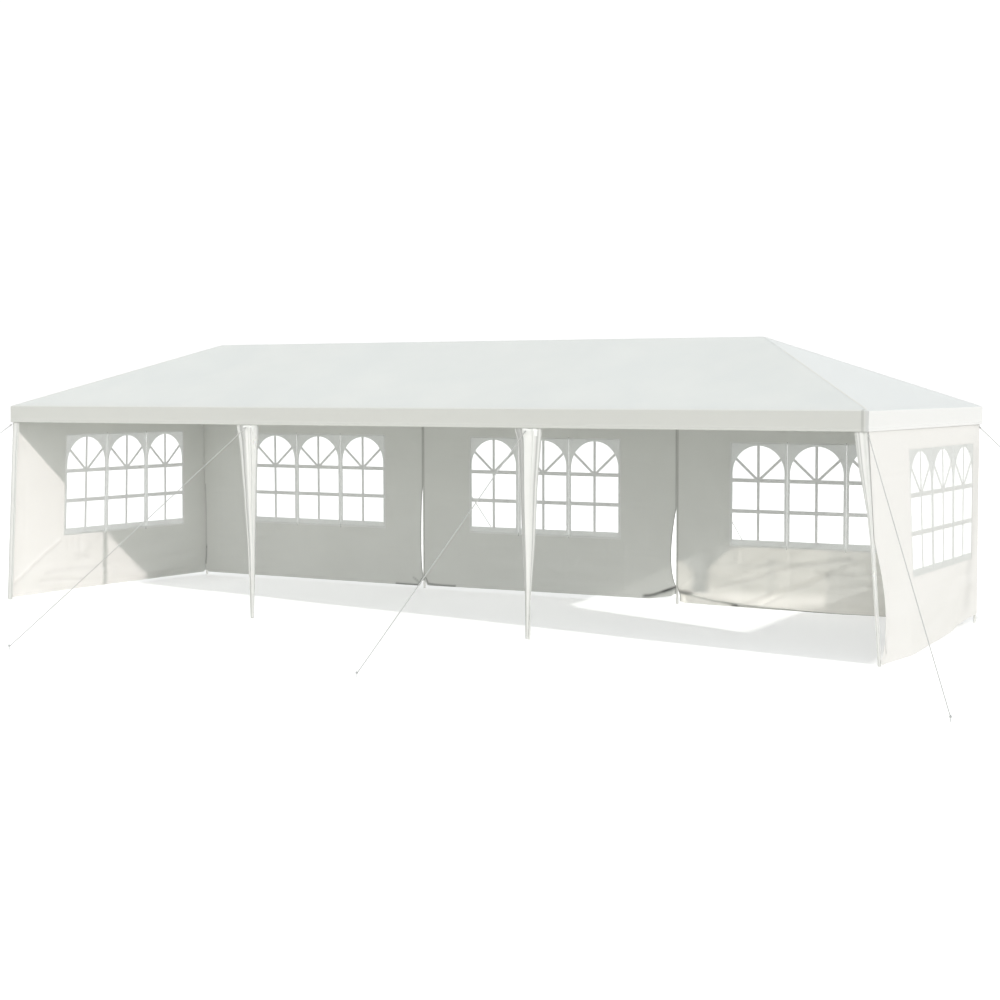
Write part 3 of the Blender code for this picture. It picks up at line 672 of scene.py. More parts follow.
def makeWall(name, wall, material, node):
    """Cuts, thickens and hangs one wall cloth, which takes its node's place."""
    first, last = wall["span"]
    left, right, low, high = patchSpan(wall)
    left, right = left + wallDetail["overlap"], right - wallDetail["overlap"]
    low, high = low + wallDetail["overlap"], high - wallDetail["overlap"]
    stopsU = [first, first + 0.06, left, right, last - 0.06, last]
    stopsV = [wallBottom, wallBottom + 0.12, low, high, wallTop]
    cell, fine = wallDetail["cell"], wallDetail["fine"]
    countsU = [max(2, round((b - a) / size)) for a, b, size in zip(stopsU, stopsU[1:], (fine, cell, cell, cell, fine))]
    countsV = [max(2, round((b - a) / size)) for a, b, size in zip(stopsV, stopsV[1:], (fine, cell, cell, cell))]
    linesU, linesV = [first], [wallBottom]
    for stops, counts, lines in ((stopsU, countsU, linesU), (stopsV, countsV, linesV)):
        for a, b, count in zip(stops, stops[1:], counts):
            lines += [a + (b - a) * (i + 1) / count for i in range(count)]
    deselectAll()
    bpy.ops.mesh.primitive_grid_add(x_subdivisions=sum(countsU), y_subdivisions=sum(countsV), size=1)
    item = bpy.context.object
    item.name = node + "_cloth"
    columns, rows = len(linesU) - 1, len(linesV) - 1
    movePoints(item, lambda p: Vector((linesU[round((p.x + 0.5) * columns)], 0,
                                       linesV[round((p.y + 0.5) * rows)])))
    # The window is cut out as one rectangle, which the patch fills
    bm = bmesh.new()
    bm.from_mesh(item.data)
    gone = [f for f in bm.faces if left < f.calc_center_median().x < right
            and low < f.calc_center_median().z < high]
    bmesh.ops.delete(bm, geom=gone, context="FACES")
    bm.to_mesh(item.data)
    bm.free()
    thicken(item, wallDetail["thickness"])
    plainLeft, plainRight = wall["plain"]
    paintFlat(item, lambda p: (plainLeft + (3.0 - plainLeft - plainRight) * (p.x - first) / (last - first), p.z))
    paintShade(item, lambda p: foldShade(wall, p.x, p.z))
    movePoints(item, hangWall(wall, name))
    finishPiece(item, material, "wall_cloth", [node])
    return item, (right - left) * (high - low)


# Window patch, modelled once round its own centre: clear film, printed frame with bars, and tapes
window = {"width": 0.54, "spacing": 0.597, "sill": 0.692, "spring": 1.342, "mullion": 0.028, "transom": 0.037,
          "ray": 0.026, "slot": 0.006, "upperBar": 1.273, "lowerBar": 0.972, "rayAngle": 42, "film": 0.0004, "print": 0.0004,
          "tape": 0.008, "binding": 0.012}


def makeArch(half, sill, depth):
    """One arched opening as a solid cutter."""
    deselectAll()
    bpy.ops.mesh.primitive_circle_add(vertices=64, radius=half, fill_type="NGON", location=(0, 0, window["spring"]),
                                      rotation=(pi / 2, 0, 0))
    item = bpy.context.object
    settle(item)
    bpy.ops.object.mode_set(mode="EDIT")
    bpy.ops.mesh.select_all(action="SELECT")
    bpy.ops.mesh.bisect(plane_co=(0, 0, window["spring"]), plane_no=(0, 0, 1), clear_inner=True)
    bpy.ops.object.mode_set(mode="OBJECT")
    bm = bmesh.new()
    bm.from_mesh(item.data)
    flat = [e for e in bm.edges if all(abs(v.co.z - window["spring"]) < 1e-5 for v in e.verts)]
    grown = bmesh.ops.extrude_edge_only(bm, edges=flat)["geom"]
    for v in grown:
        if isinstance(v, bmesh.types.BMVert):
            v.co.z = sill
    bmesh.ops.remove_doubles(bm, verts=bm.verts, dist=1e-5)
    out = bmesh.ops.extrude_face_region(bm, geom=bm.faces[:])["geom"]
    for v in out:
        if isinstance(v, bmesh.types.BMVert):
            v.co.y += depth
    for v in bm.verts:
        v.co.y -= depth / 2
    bmesh.ops.recalc_face_normals(bm, faces=bm.faces)
    bm.to_mesh(item.data)
    bm.free()
    return item


def cutBy(item, tool, operation="DIFFERENCE"):
    pick(item)
    cut = item.modifiers.new("cut", "BOOLEAN")
    cut.operation = operation
    cut.solver = "EXACT"
    cut.object = tool
    bpy.ops.object.modifier_apply(modifier=cut.name)
    bpy.data.objects.remove(tool)


def makeBar(width, height, centre, turn=0.0):
    deselectAll()
    bpy.ops.mesh.primitive_cube_add(size=1, location=(centre[0], 0, centre[1]), rotation=(0, turn, 0),
                                    scale=(width, 0.3, height))
    item = bpy.context.object
    settle(item)
    return item


def inThrees(model):
    copies = [model]
    for shift in (-1, 1):
        other = copyOf(model, "other")
        other.data.transform(Matrix.Translation((shift * window["spacing"], 0, 0)))
        copies.append(other)
    return joinAll(copies, "openings")


def makeOpenings(withBars):
    """Cutter for the three arches, whole or as the clear panes between their bars."""
    pane = makeArch(window["width"] / 2, window["sill"], 0.1)
    if not withBars:
        return inThrees(pane)
    cutBy(pane, makeBar(window["mullion"], 3.0, (0, 1.2)))
    for height in (window["upperBar"], window["lowerBar"]):
        cutBy(pane, makeBar(1.0, window["transom"], (0, height)))
    for side in (-1, 1):
        angle = radians(window["rayAngle"])
        centre = (side * 0.25 * cos(angle), window["upperBar"] + 0.25 * sin(angle))
        cutBy(pane, makeBar(0.5, window["ray"], centre, -side * angle))
    return inThrees(pane)


def makePlate(name, low, high, half, cell):
    """A flat rectangle of small cells in the wall's plane."""
    deselectAll()
    columns, rows = round(2 * half / cell), round((high - low) / cell)
    bpy.ops.mesh.primitive_grid_add(x_subdivisions=columns, y_subdivisions=rows, size=1)
    item = bpy.context.object
    item.name = name
    movePoints(item, lambda p: Vector((2 * half * p.x, 0, low + (high - low) * (p.y + 0.5))))
    return item


patchPrint = makePlate("patch_print", wallDetail["patchLow"], wallDetail["patchHigh"], wallDetail["patchHalf"], 0.045)
thicken(patchPrint, window["print"])
patchBars = copyOf(patchPrint, "patch_bars")
cutBy(patchPrint, makeOpenings(False))
for side in (-1, 1):
    cutBy(patchPrint, makeBar(window["slot"], 0.98, (side * window["spacing"] / 2, 1.14)))
cutBy(patchBars, makeOpenings(False), "INTERSECT")
cutBy(patchBars, makeOpenings(True))
for model in (patchPrint, patchBars):
    model.data.transform(Matrix.Translation((0, -0.0010, 0)))
patchFilm = makePlate("patch_film", wallDetail["patchLow"] + 0.002, wallDetail["patchHigh"] - 0.002,
                      wallDetail["patchHalf"] - 0.002, 0.06)
thicken(patchFilm, window["film"])
patchFilm.data.transform(Matrix.Translation((0, -0.0017, 0)))
# Two upright see-through seams between the arches, and a binding round the patch
seams, tapes = [], []
for side in (-1, 1):
    strip = makePlate("seam", wallDetail["patchLow"] - 0.012, wallDetail["patchHigh"] + 0.004, window["tape"] / 2, 0.011)
    strip.data.transform(Matrix.Translation((side * window["spacing"] / 2, -0.0030, 0)))
    seams.append(strip)
patchSeams = joinAll(seams, "patch_seams")
thicken(patchSeams, 0.0006)
ring = window["binding"]
for side in (-1, 1):
    strip = makePlate("tape", wallDetail["patchLow"], wallDetail["patchHigh"], ring / 2, 0.012)
    strip.data.transform(Matrix.Translation((side * (wallDetail["patchHalf"] - ring / 2), -0.0023, 0)))
    tapes.append(strip)
for height in (wallDetail["patchLow"] + ring / 2, wallDetail["patchHigh"] - ring / 2):
    strip = makePlate("tape", height - ring / 2, height + ring / 2, wallDetail["patchHalf"] - ring, 0.012)
    strip.data.transform(Matrix.Translation((0, -0.0023, 0)))
    tapes.append(strip)
patchTapes = joinAll(tapes, "patch_tapes")
thicken(patchTapes, 0.0006)
print("window patch modelled")

windowPieces = ((patchFilm, "film", filmClear, "window_film"), (patchPrint, "print", printMaterial, "window_film"),
                (patchBars, "bars", barMaterial, "window_film"), (patchTapes, "tapes", bindingMaterial, "wall_cloth"),
                (patchSeams, "seams", filmSeam, "window_film"))
hung = {}
for wallName, wall in walls.items():
    isBack = wallName.startswith("back")
    node = f"{wallName}_wall" if isBack else f"{wallName}_end_wall"
    filmNode = f"{wallName}_window" if isBack else f"{wallName}_end_window"
    cloth, hole = makeWall(wallName, wall, wallMaterial, node)
    made = []
    hang = hangWall(wall, wallName)
    centre, rise, scale = wall["window"]
    middle = wallDetail["middle"]
    # The milky film would hide the print from inside, so there it is printed on both faces
    inner = [(patchPrint, "inner_print", printMaterial, "window_film"), (patchBars, "inner_bars", barMaterial,
                                                                         "window_film")] if wallName == "right" else []
    for model, suffix, material, slot in list(windowPieces) + inner:
        item = copyOf(model, f"{filmNode}_{suffix}")
        behind = 0.0014 if suffix.startswith("inner") else 0.0
        movePoints(item, lambda p: Vector((centre + scale * p.x, p.y - behind,
                                           middle + rise + scale * (p.z - middle))))
        paintFlat(item, lambda p: (p.x, p.z + 0.2))
        movePoints(item, hang)
        bm = bmesh.new()
        bm.from_mesh(item.data)
        bmesh.ops.recalc_face_normals(bm, faces=bm.faces)
        bm.to_mesh(item.data)
        bm.free()
        if wallName == "right":
            material = {"film": filmSunlit, "print": printSunlit}.get(suffix, material)
        finishPiece(item, material, slot, [filmNode] if suffix == "film" else [])
        made.append(item)
    hung[wallName] = [cloth] + made
for model in (patchPrint, patchBars, patchFilm, patchTapes, patchSeams):
    bpy.data.objects.remove(model)
print("walls and windows hung")


# Leg drapes: gathered under the valance and drawn in to the leg's foot
drape = {"top": 1.8165, "bottom": 0.006, "thickness": 0.001, "columns": 76, "rows": 60, "depth": 0.026,
         "footDepth": 0.003}
# Each drape: its side edges from the leg's axis by height, its pleats (place across, depth share), and how
# light it is in the photo across its width, painted on as the shade and light of its pleats
drapes = {
    "left": {"left": [(0, -0.0125), (1.8, -0.0135)], "right": [(0, 0.048), (0.3, 0.052), (1.5, 0.054), (1.8, 0.068)],
             "folds": [(-1, 0.1), (-0.3, 0.2), (0.1, 0.0), (0.45, 0.5), (0.7, 0.2), (0.9, 0.6), (1, 0.4)],
             "tones": [(-1, 0.86), (-0.6, 0.93), (-0.2, 0.97), (0.4, 0.97), (0.6, 0.82), (0.75, 0.97), (1, 0.95)],
             "cut": 0.14, "seed": 2.0},
    "mid_left": {"left": [(0, -0.004), (0.63, -0.020), (1.12, -0.059), (1.47, -0.089), (1.7, -0.116), (1.8, -0.140)],
                 "right": [(0, 0.030), (0.38, 0.046), (0.72, 0.056), (1.05, 0.070), (1.39, 0.085), (1.8, 0.103)],
                 "folds": [(-1, 0.7), (-0.75, 0.12), (-0.3, 1.0), (0.1, 0.35), (0.23, 0.8), (0.52, 0.25), (0.7, 0.5),
                           (1, 0.15)],
                 "tones": [(-1, 0.93), (-0.72, 0.91), (-0.62, 0.80), (-0.48, 0.87), (-0.2, 0.86), (-0.08, 0.99),
                           (0.3, 1.0), (0.38, 0.85), (0.48, 0.99), (0.85, 0.96), (1, 0.75)],
                 "cut": 0.26, "seed": 5.0, "tie": True},
    "mid_right": {"left": [(0, -0.026), (0.42, -0.032), (0.99, -0.064), (1.49, -0.086), (1.72, -0.100), (1.8, -0.128)],
                  "right": [(0, 0.004), (0.42, 0.030), (0.84, 0.066), (1.33, 0.091), (1.57, 0.115), (1.8, 0.137)],
                  "folds": [(-1, 0.5), (-0.9, 0.15), (-0.6, 0.5), (-0.52, 0.4), (-0.34, 0.95), (0.28, 0.15), (0.41, 0.75),
                            (0.85, 0.15), (1, 0.3)],
                  "tones": [(-1, 0.90), (-0.9, 0.81), (-0.52, 0.82), (-0.42, 0.78), (-0.30, 0.99), (0.42, 1.0),
                            (0.60, 0.94), (0.70, 0.80), (0.84, 0.97), (1, 0.80)],
                  "cut": 0.28, "seed": 8.0, "tie": True},
    "right": {"left": [(0, -0.012), (0.85, -0.0145), (0.95, -0.019), (1.18, -0.033), (1.36, -0.056), (1.53, -0.079),
                       (1.8, -0.099)],
              "right": [(0, 0.0125), (1.8, 0.0135)],
              "folds": [(-1, 0.8), (-0.8, 0.4), (-0.55, 0.95), (0.25, 0.1), (0.6, 0.3), (1, 0.05)],
              "tones": [(-1, 0.94), (-0.45, 0.94), (-0.30, 0.80), (-0.15, 0.97), (0.7, 0.98), (1, 0.78)],
              "cut": 0.13, "seed": 11.0},
}


def foldAt(folds, s):
    for (s0, d0), (s1, d1) in zip(folds, folds[1:]):
        if s <= s1:
            return d0 + (d1 - d0) * smooth((s - s0) / (s1 - s0))
    return folds[-1][1]


def drapePoint(x, place, s, z, lift=0.0):
    """Where the drape's cloth is, s from -1 at its left edge to 1 at its right."""
    look = drapes[place]
    left, right = between(look["left"], z), between(look["right"], z)
    across = left + (right - left) * (s + 1) / 2
    wander = 0.05 * (1 - abs(s)) * rippleAt(z * 0.9, look["seed"], 1.7)
    gather = smooth((right - left - 0.026) / 0.15)
    depth = drape["footDepth"] + (drape["depth"] - drape["footDepth"]) * gather
    out = tent["tube"] + 0.0012 + depth * foldAt(look["folds"], s + wander) + lift
    out += 0.0015 * gather * rippleAt(s * 3, z * 2.5, look["seed"] + 4)
    beside = max(abs(across) - 0.02, 0.0)
    out -= min(beside * 0.3, 0.012) * smooth((abs(s) - 0.8) / 0.2)
    lean = legLean(z) * (1 if x > 0 else -1) if abs(x) == tent["halfLength"] else 0.0
    return Vector((x + lean + across, -tent["halfDepth"] - out, z))


def drapeShade(look, s, z):
    wander = 0.05 * (1 - abs(s)) * rippleAt(z * 0.9, look["seed"], 1.7)
    return 1.2 * (1 - foldAt(look["tones"], s + wander) ** 2.2)


def makeDrape(x, place, look):
    deselectAll()
    bpy.ops.mesh.primitive_grid_add(x_subdivisions=drape["columns"], y_subdivisions=drape["rows"], size=1)
    item = bpy.context.object
    item.name = f"front_{place}_drape_cloth"
    high = drape["top"] - drape["bottom"]
    paintFlat(item, lambda p: (0.5 * p.x, 1.79 * (p.y + 0.5)))
    paintShade(item, lambda p: drapeShade(look, 2 * p.x, drape["bottom"] + high * (p.y + 0.5)))
    movePoints(item, lambda p: drapePoint(x, place, 2 * p.x, drape["bottom"] + high * (p.y + 0.5)))
    bm = bmesh.new()
    bm.from_mesh(item.data)
    bmesh.ops.recalc_face_normals(bm, faces=bm.faces)
    bm.to_mesh(item.data)
    bm.free()
    thicken(item, drape["thickness"])
    finishPiece(item, drapeMaterial, "drape_cloth", [f"front_{place}_drape"], angle=60)
    return item


def makeDrapeTie(x, place):
    """Tape tied round the top of a drape, with its loose end hanging down."""
    strips = []
    for spots, low, high, lift in (((-0.25, 0.72), 1.797, 1.811, 0.0022), ((0.52, 0.72), 1.752, 1.803, 0.0038)):
        deselectAll()
        bpy.ops.mesh.primitive_grid_add(x_subdivisions=30, y_subdivisions=6, size=1)
        strip = bpy.context.object
        movePoints(strip, lambda p: drapePoint(x, place, spots[0] + (spots[1] - spots[0]) * (p.x + 0.5),
                                               low + (high - low) * (p.y + 0.5),
                                               lift + 0.002 * (0.5 - p.y) * (lift > 0.003)))
        strips.append(strip)
    item = joinAll(strips, f"front_{place}_drape_tie")
    bm = bmesh.new()
    bm.from_mesh(item.data)
    bmesh.ops.recalc_face_normals(bm, faces=bm.faces)
    bm.to_mesh(item.data)
    bm.free()
    thicken(item, 0.0008)
    paintFlat(item, lambda p: (p.x, 0.4 + p.z))
    finishPiece(item, bindingMaterial, "drape_cloth", angle=60)
    return item


drapePieces = []
for x, place in zip(postX, postNames):
    look = drapes[place]
    item = makeDrape(x, place, look)
    ties = [makeDrapeTie(x, place)] if look.get("tie") else []
    drapePieces += [item] + ties


# Ropes and stakes
ropes = {"radius": 0.0040, "sides": 8, "steps": 48, "sag": 0.006, "top": 1.80, "end": 0.034, "loop": 0.0165}
stakes = {"left": (-5.815, 3.56), "mid_left": (-1.934, 4.181), "mid_right": (1.409, 3.952), "right": (5.815, 3.56)}


def makeTube(name, points, radius, sides, closed=False):
    """A round tube along points, with its own UV: round it, and metres along it."""
    bm = bmesh.new()
    flat = bm.loops.layers.uv.new("flat")
    rings, lengths, run = [], [], 0.0
    side = None
    count = len(points)
    for index, point in enumerate(points):
        before = points[index - 1] if index or closed else point
        after = points[(index + 1) % count] if index < count - 1 or closed else point
        ahead = (after - before).normalized()
        if side is None:
            side = ahead.cross(Vector((0, 0, 1)) if abs(ahead.z) < 0.9 else Vector((0, 1, 0))).normalized()
        side = (side - ahead * side.dot(ahead)).normalized()
        up = ahead.cross(side)
        rings.append([bm.verts.new(point + radius * (side * cos(2 * pi * i / sides) + up * sin(2 * pi * i / sides)))
                      for i in range(sides)])
        lengths.append(run)
        run += (points[(index + 1) % count] - point).length
    pairs = list(zip(range(count), range(1, count))) + ([(count - 1, 0)] if closed else [])
    for a, b in pairs:
        for i in range(sides):
            j = (i + 1) % sides
            face = bm.faces.new((rings[a][i], rings[a][j], rings[b][j], rings[b][i]))
            ends = [(i, lengths[a]), (i + 1, lengths[a]), (i + 1, lengths[b] or run), (i, lengths[b] or run)]
            for loop, (turn, along) in zip(face.loops, ends):
                loop[flat].uv = (turn / sides, along)
    if not closed:
        bm.faces.new(rings[0][::-1])
        bm.faces.new(rings[-1])
    bmesh.ops.recalc_face_normals(bm, faces=bm.faces)
    mesh = bpy.data.meshes.new(name)
    bm.to_mesh(mesh)
    bm.free()
    item = bpy.data.objects.new(name, mesh)
    bpy.context.scene.collection.objects.link(item)
    return item


def loopPoints(centre, radius, turns, pitch, start=0.0, steps=18):
    count = round(turns * steps)
    return [centre + Vector((radius * cos(start + 2 * pi * i / steps), radius * sin(start + 2 * pi * i / steps),
                             pitch * (i / steps - turns / 2))) for i in range(count + 1)]


def makeGuyRope(x, y, place):
    row = "front" if y < 0 else "back"
    stakeX, stakeY = stakes[place]
    foot = Vector((stakeX, stakeY * (1 if y > 0 else -1), 0))
    tie = Vector((x, y, ropes["top"]))
    if abs(x) == tent["halfLength"] and y < 0:
        tie.x += legLean(ropes["top"]) * (1 if x > 0 else -1)
    outward = (Vector((foot.x, foot.y, 0)) - Vector((tie.x, tie.y, 0))).normalized()
    front = 0.0175 + ropes["radius"] + (drape["depth"] if abs(x) < tent["halfLength"] else 0.003)
    reach = ropes["loop"] + 0.001 if y > 0 else front / abs(outward.y)
    start = tie + outward * reach
    end = foot + Vector((0, 0, ropes["end"])) - outward * 0.004
    line = []
    for i in range(ropes["steps"] + 1):
        t = i / ropes["steps"]
        line.append(start.lerp(end, t) - Vector((0, 0, 4 * ropes["sag"] * t * (1 - t))))
    parts = [makeTube("rope", line, ropes["radius"], ropes["sides"])]
    if y > 0:
        parts.append(makeTube("rope", loopPoints(tie, ropes["loop"], 2.5, 0.0055), ropes["radius"], ropes["sides"]))
    # A knot where the rope leaves the leg, and an eye round the stake
    aim = (end - start).normalized()
    knotTurn = aim.to_track_quat("Z", "Y").to_matrix()
    for along, radius in ((0.012, 0.0046), (0.018, 0.0046), (0.024, 0.0044)):
        ringPoints = [start + aim * along + knotTurn @ Vector((radius * cos(a), radius * sin(a), 0.001 * sin(2 * a)))
                      for a in [2 * pi * i / 14 for i in range(14)]]
        parts.append(makeTube("rope", ringPoints, ropes["radius"] * 0.9, 6, closed=True))
    eye = [foot + Vector((0.0072 * cos(a), 0.0072 * sin(a), ropes["end"] + 0.0015 * sin(a)))
           for a in [2 * pi * i / 16 for i in range(16)]]
    parts.append(makeTube("rope", eye, ropes["radius"], 6, closed=True))
    rope = joinAll(parts, f"{row}_{place}_rope")
    finishPiece(rope, ropeWhite, "guy_rope", [f"{row}_{place}_guy_rope"], angle=70)
    # The stake: a wire pin with its top bent over away from the tent
    wire = [foot + Vector((0, 0, 0.0003)), foot + Vector((0, 0, 0.02)), foot + Vector((0, 0, 0.04))]
    for i in range(1, 9):
        a = pi * i / 8
        wire.append(foot + outward * (0.007 - 0.007 * cos(a)) + Vector((0, 0, 0.040 + 0.007 * sin(a))))
    wire.append(wire[-1] - Vector((0, 0, 0.010)))
    stake = makeTube(f"{row}_{place}_stake", wire, 0.003, 10)
    finishPiece(stake, stakeWire, "frame_steel", angle=60)
    return [rope, stake]


ropePieces = []
for y in (-tent["halfDepth"], tent["halfDepth"]):
    for x, place in zip(postX, postNames):
        ropePieces += makeGuyRope(x, y, place)
print("ropes tied")


# Ground, light and camera
cameraView = {"place": (9.386, -15.384, 2.191), "pitch": -3.537, "yaw": 30.479, "roll": -0.12, "lens": 67.216}
light = {"sky": 0.91, "skyTint": (0.975, 1.0, 1.0, 1), "backdrop": 1.05, "floorGlow": 0.385, "floorTone": 0.88,
         "floorBounce": 0.735}
highSun, lowSun, sideSun = (-1.0, 0.18, -0.40), (-1.0, 0.229, -0.195), (-1.0, 0.40, -0.35)
# Each sun: strength, ray, softness and colour
suns = {
    "tentSun": {"power": 1.6, "ray": highSun, "angle": 0.6},
    "endSun": {"power": 1.58, "ray": lowSun, "angle": 0.5, "tint": (1.0, 0.90, 0.90)},
    "wallSun": {"power": 1.80, "ray": sideSun, "angle": 0.06, "tint": (1.0, 0.90, 0.80)},
    "floorSun": {"power": 3.2, "ray": sideSun, "angle": 0.06},
    "roomFill": {"power": 1.02, "ray": (-0.5, 0.85, -0.25), "angle": 70, "tint": (1.0, 0.99, 0.985)},
    "endFill": {"power": 0.94, "ray": (-1.0, 0.2, 0.0), "angle": 80, "tint": (1.0, 0.975, 0.99)},
    "drapeFill": {"power": 1.35, "ray": (-0.5, 0.85, -0.05), "angle": 60},
}


def litFloor():
    bpy.ops.mesh.primitive_plane_add(size=120, location=(0, 20, 0))
    floor = bpy.context.object
    floor.name = "floor"
    made, tree = startMaterial("paleFloor")
    place = addNode(tree, "ShaderNodeTexCoord").outputs["Object"]
    grain = addNode(tree, "ShaderNodeTexNoise", {"Vector": place, "Scale": 0.4, "Detail": 2.0})
    seen = addNode(tree, "ShaderNodeLightPath").outputs["Is Camera Ray"]
    tone = ranged(tree, seen, 0.0, 1.0, light["floorBounce"], light["floorTone"])
    tone = sumOf(tree, "ADD", tone, ranged(tree, grain.outputs[0], 0.3, 0.7, -0.004, 0.004))
    # Painted shade on the ground: darker towards the tent's open front and its right end so its shadow stays even, and
    # painted strips of shadow just behind the back wall and along the left wall's rear half
    spot = addNode(tree, "ShaderNodeSeparateXYZ", {0: addNode(tree, "ShaderNodeNewGeometry").outputs["Position"]})
    even = sumOf(tree, "MULTIPLY", ranged(tree, spot.outputs[1], -1.3, 1.3, 0.93, 0.99),
                 ranged(tree, spot.outputs[0], -1.0, 4.3, 1.0, 0.975))
    rear = sumOf(tree, "ADD", ranged(tree, spot.outputs[1], 1.46, 1.50, 0.0, 0.14),
                 ranged(tree, spot.outputs[1], 1.95, 2.3, 0.0, -0.14))
    beside = sumOf(tree, "MULTIPLY", ranged(tree, spot.outputs[0], -4.50, -4.46, 0.14, 0.0),
                   ranged(tree, spot.outputs[1], 0.35, 0.7, 0.0, 1.0))
    even = sumOf(tree, "SUBTRACT", even, sumOf(tree, "MAXIMUM", rear, beside))
    tone = sumOf(tree, "MULTIPLY", tone, even)
    # The sunlit patch beside the right back wall throws less light back than the open ground
    patch = sumOf(tree, "MULTIPLY", ranged(tree, spot.outputs[0], 0.2, 0.8, 0.0, 0.12),
                  ranged(tree, spot.outputs[1], -0.4, 0.1, 0.0, 1.0))
    patch = sumOf(tree, "MULTIPLY", patch, ranged(tree, spot.outputs[0], 3.2, 4.0, 1.0, 0.0))
    patch = sumOf(tree, "MULTIPLY", patch, ranged(tree, seen, 0.0, 1.0, 1.0, 0.0))
    tone = sumOf(tree, "MULTIPLY", tone, sumOf(tree, "SUBTRACT", 1.0, patch))
    warm = sumOf(tree, "MULTIPLY", tone, ranged(tree, seen, 0.0, 1.0, 0.955, 1.0))
    tint = addNode(tree, "ShaderNodeCombineColor", {0: tone, 1: tone, 2: warm})
    body = addNode(tree, "ShaderNodeBsdfDiffuse", {"Color": tint.outputs[0]})
    shine = sumOf(tree, "MULTIPLY", sumOf(tree, "MULTIPLY", seen, light["floorGlow"]), even)
    glow = addNode(tree, "ShaderNodeEmission", {"Color": (1, 1, 1, 1), "Strength": shine})
    both = addNode(tree, "ShaderNodeAddShader", {0: body.outputs[0], 1: glow.outputs[0]})
    addNode(tree, "ShaderNodeOutputMaterial", {"Surface": both.outputs[0]})
    floor.data.materials.append(made)
    return floor


def linkGroup(name, items, state):
    group = bpy.data.collections.new(name)
    for item in items:
        group.objects.link(item)
    for held in group.collection_objects:
        held.light_linking.link_state = state
    return group


def clearMaterial(name, share):
    made, tree = startMaterial(name)
    clear = addNode(tree, "ShaderNodeBsdfTransparent", {"Color": (share, share, share, 1)})
    addNode(tree, "ShaderNodeOutputMaterial", {"Surface": clear.outputs[0]})
    return made


def makeCard(name, card, ray):
    """Card far out along a sun's ray, unseen by the camera, whose outline and cut-outs shape that sun's patch."""
    flat = makePrism(card["outline"], 0.01)
    for outline in card["open"] + card.get("scrims", []):
        cutBy(flat, makePrism(outline, 0.2))
    flat.data.materials.append(cardMaterial)
    thin = [makePrism(outline, 0.01) for outline in card.get("scrims", [])]
    thin += [makeBar(*bar) for bar in card.get("bars", [])]
    for item in thin[len(card.get("scrims", [])):]:
        item.data.transform(Matrix.Scale(0.03, 4, (0, 1, 0)))
    for item in thin:
        item.data.materials.clear()
        item.data.materials.append(scrimMaterial)
    flat = joinAll([flat] + thin, name)
    if card["lying"]:
        flat.data.transform(Matrix.Rotation(radians(-90), 4, "X"))
    flat.data.transform(Matrix.Translation(Vector((0, 0 if card["lying"] else backWallY, 0)) - 30 * Vector(ray)))
    for way in ("camera", "diffuse", "glossy", "transmission", "volume_scatter"):
        setattr(flat, "visible_" + way, False)
    return flat


def makePrism(outline, depth):
    """Solid cutter with the given outline (along, up)."""
    bm = bmesh.new()
    front = bm.faces.new([bm.verts.new((x, -depth / 2, z)) for x, z in outline])
    out = bmesh.ops.extrude_face_region(bm, geom=[front])["geom"]
    for v in out:
        if isinstance(v, bmesh.types.BMVert):
            v.co.y += depth
    bmesh.ops.recalc_face_normals(bm, faces=bm.faces)
    mesh = bpy.data.meshes.new("prism")
    bm.to_mesh(mesh)
    bm.free()
    item = bpy.data.objects.new("prism", mesh)
    bpy.context.scene.collection.objects.link(item)
    return item


cardMaterial = clearMaterial("sunCard", 0.0)
scrimMaterial = clearMaterial("sunScrim", 0.75)
# Outlines and cut-outs as their shadow falls: (along, up) on the back wall, (along, deep) on the ground
wallCard = {
    "lying": False, "outline": [(0.7, -0.6), (5.3, -0.6), (5.3, 2.6), (0.7, 2.6)],
    "open": [[(1.83, -0.15), (1.83, 0.35), (1.867, 0.402), (1.913, 0.44), (1.99, 0.50), (2.065, 0.56),
              (2.125, 0.597), (2.19, 0.612), (3.12, 0.650), (3.085, 0.48), (3.070, 0.22), (3.045, 0.153),
              (2.98, 0.07), (2.96, -0.15)],
             [(1.3, -0.15), (1.3, 0.45), (1.52, 0.436), (1.56, 0.43), (1.605, 0.397), (1.65, 0.364),
              (1.683, 0.33), (1.683, 0.125), (1.84, 0.128), (1.84, -0.15)]],
    "scrims": [[(3.12, 0.650), (3.085, 0.48), (3.070, 0.22), (3.045, 0.153), (2.98, 0.07), (2.96, -0.15),
                (4.9, -0.15), (4.9, 0.72), (3.9, 0.68)]],
    "bars": [(0.045, 0.34, (2.5, 0.345)), (0.9, 0.022, (2.05, 0.428)), (0.6, 0.022, (2.8, 0.46)),
             (0.030, 0.15, (2.125, 0.52))]}
groundCard = {
    "lying": True,
    "outline": [(-5.0, 0.45), (-4.36, 0.35), (-4.09, 0.28), (-3.84, 0.23), (-3.46, 0.16), (-3.15, 0.12),
                (-2.88, 0.06), (-2.42, -0.03), (-1.95, -0.14), (-1.5, -0.235), (0.46, -0.59), (1.42, -0.80),
                (2.32, -1.0), (3.13, -1.15), (3.89, -1.29), (4.52, -1.405), (4.44, -0.9), (4.42, 2.0), (-5.0, 2.0)],
    "open": [[(0.57, 0.97), (0.75, 0.76), (0.97, 0.65), (1.38, 0.48), (1.77, 0.32), (2.16, 0.16), (2.53, 0.01),
              (2.97, -0.18), (2.95, 0.20), (2.92, 0.51), (2.88, 0.82), (2.86, 1.16),
              (2.84, 1.45), (2.82, 1.9), (0.40, 1.9), (0.53, 1.35)]]}


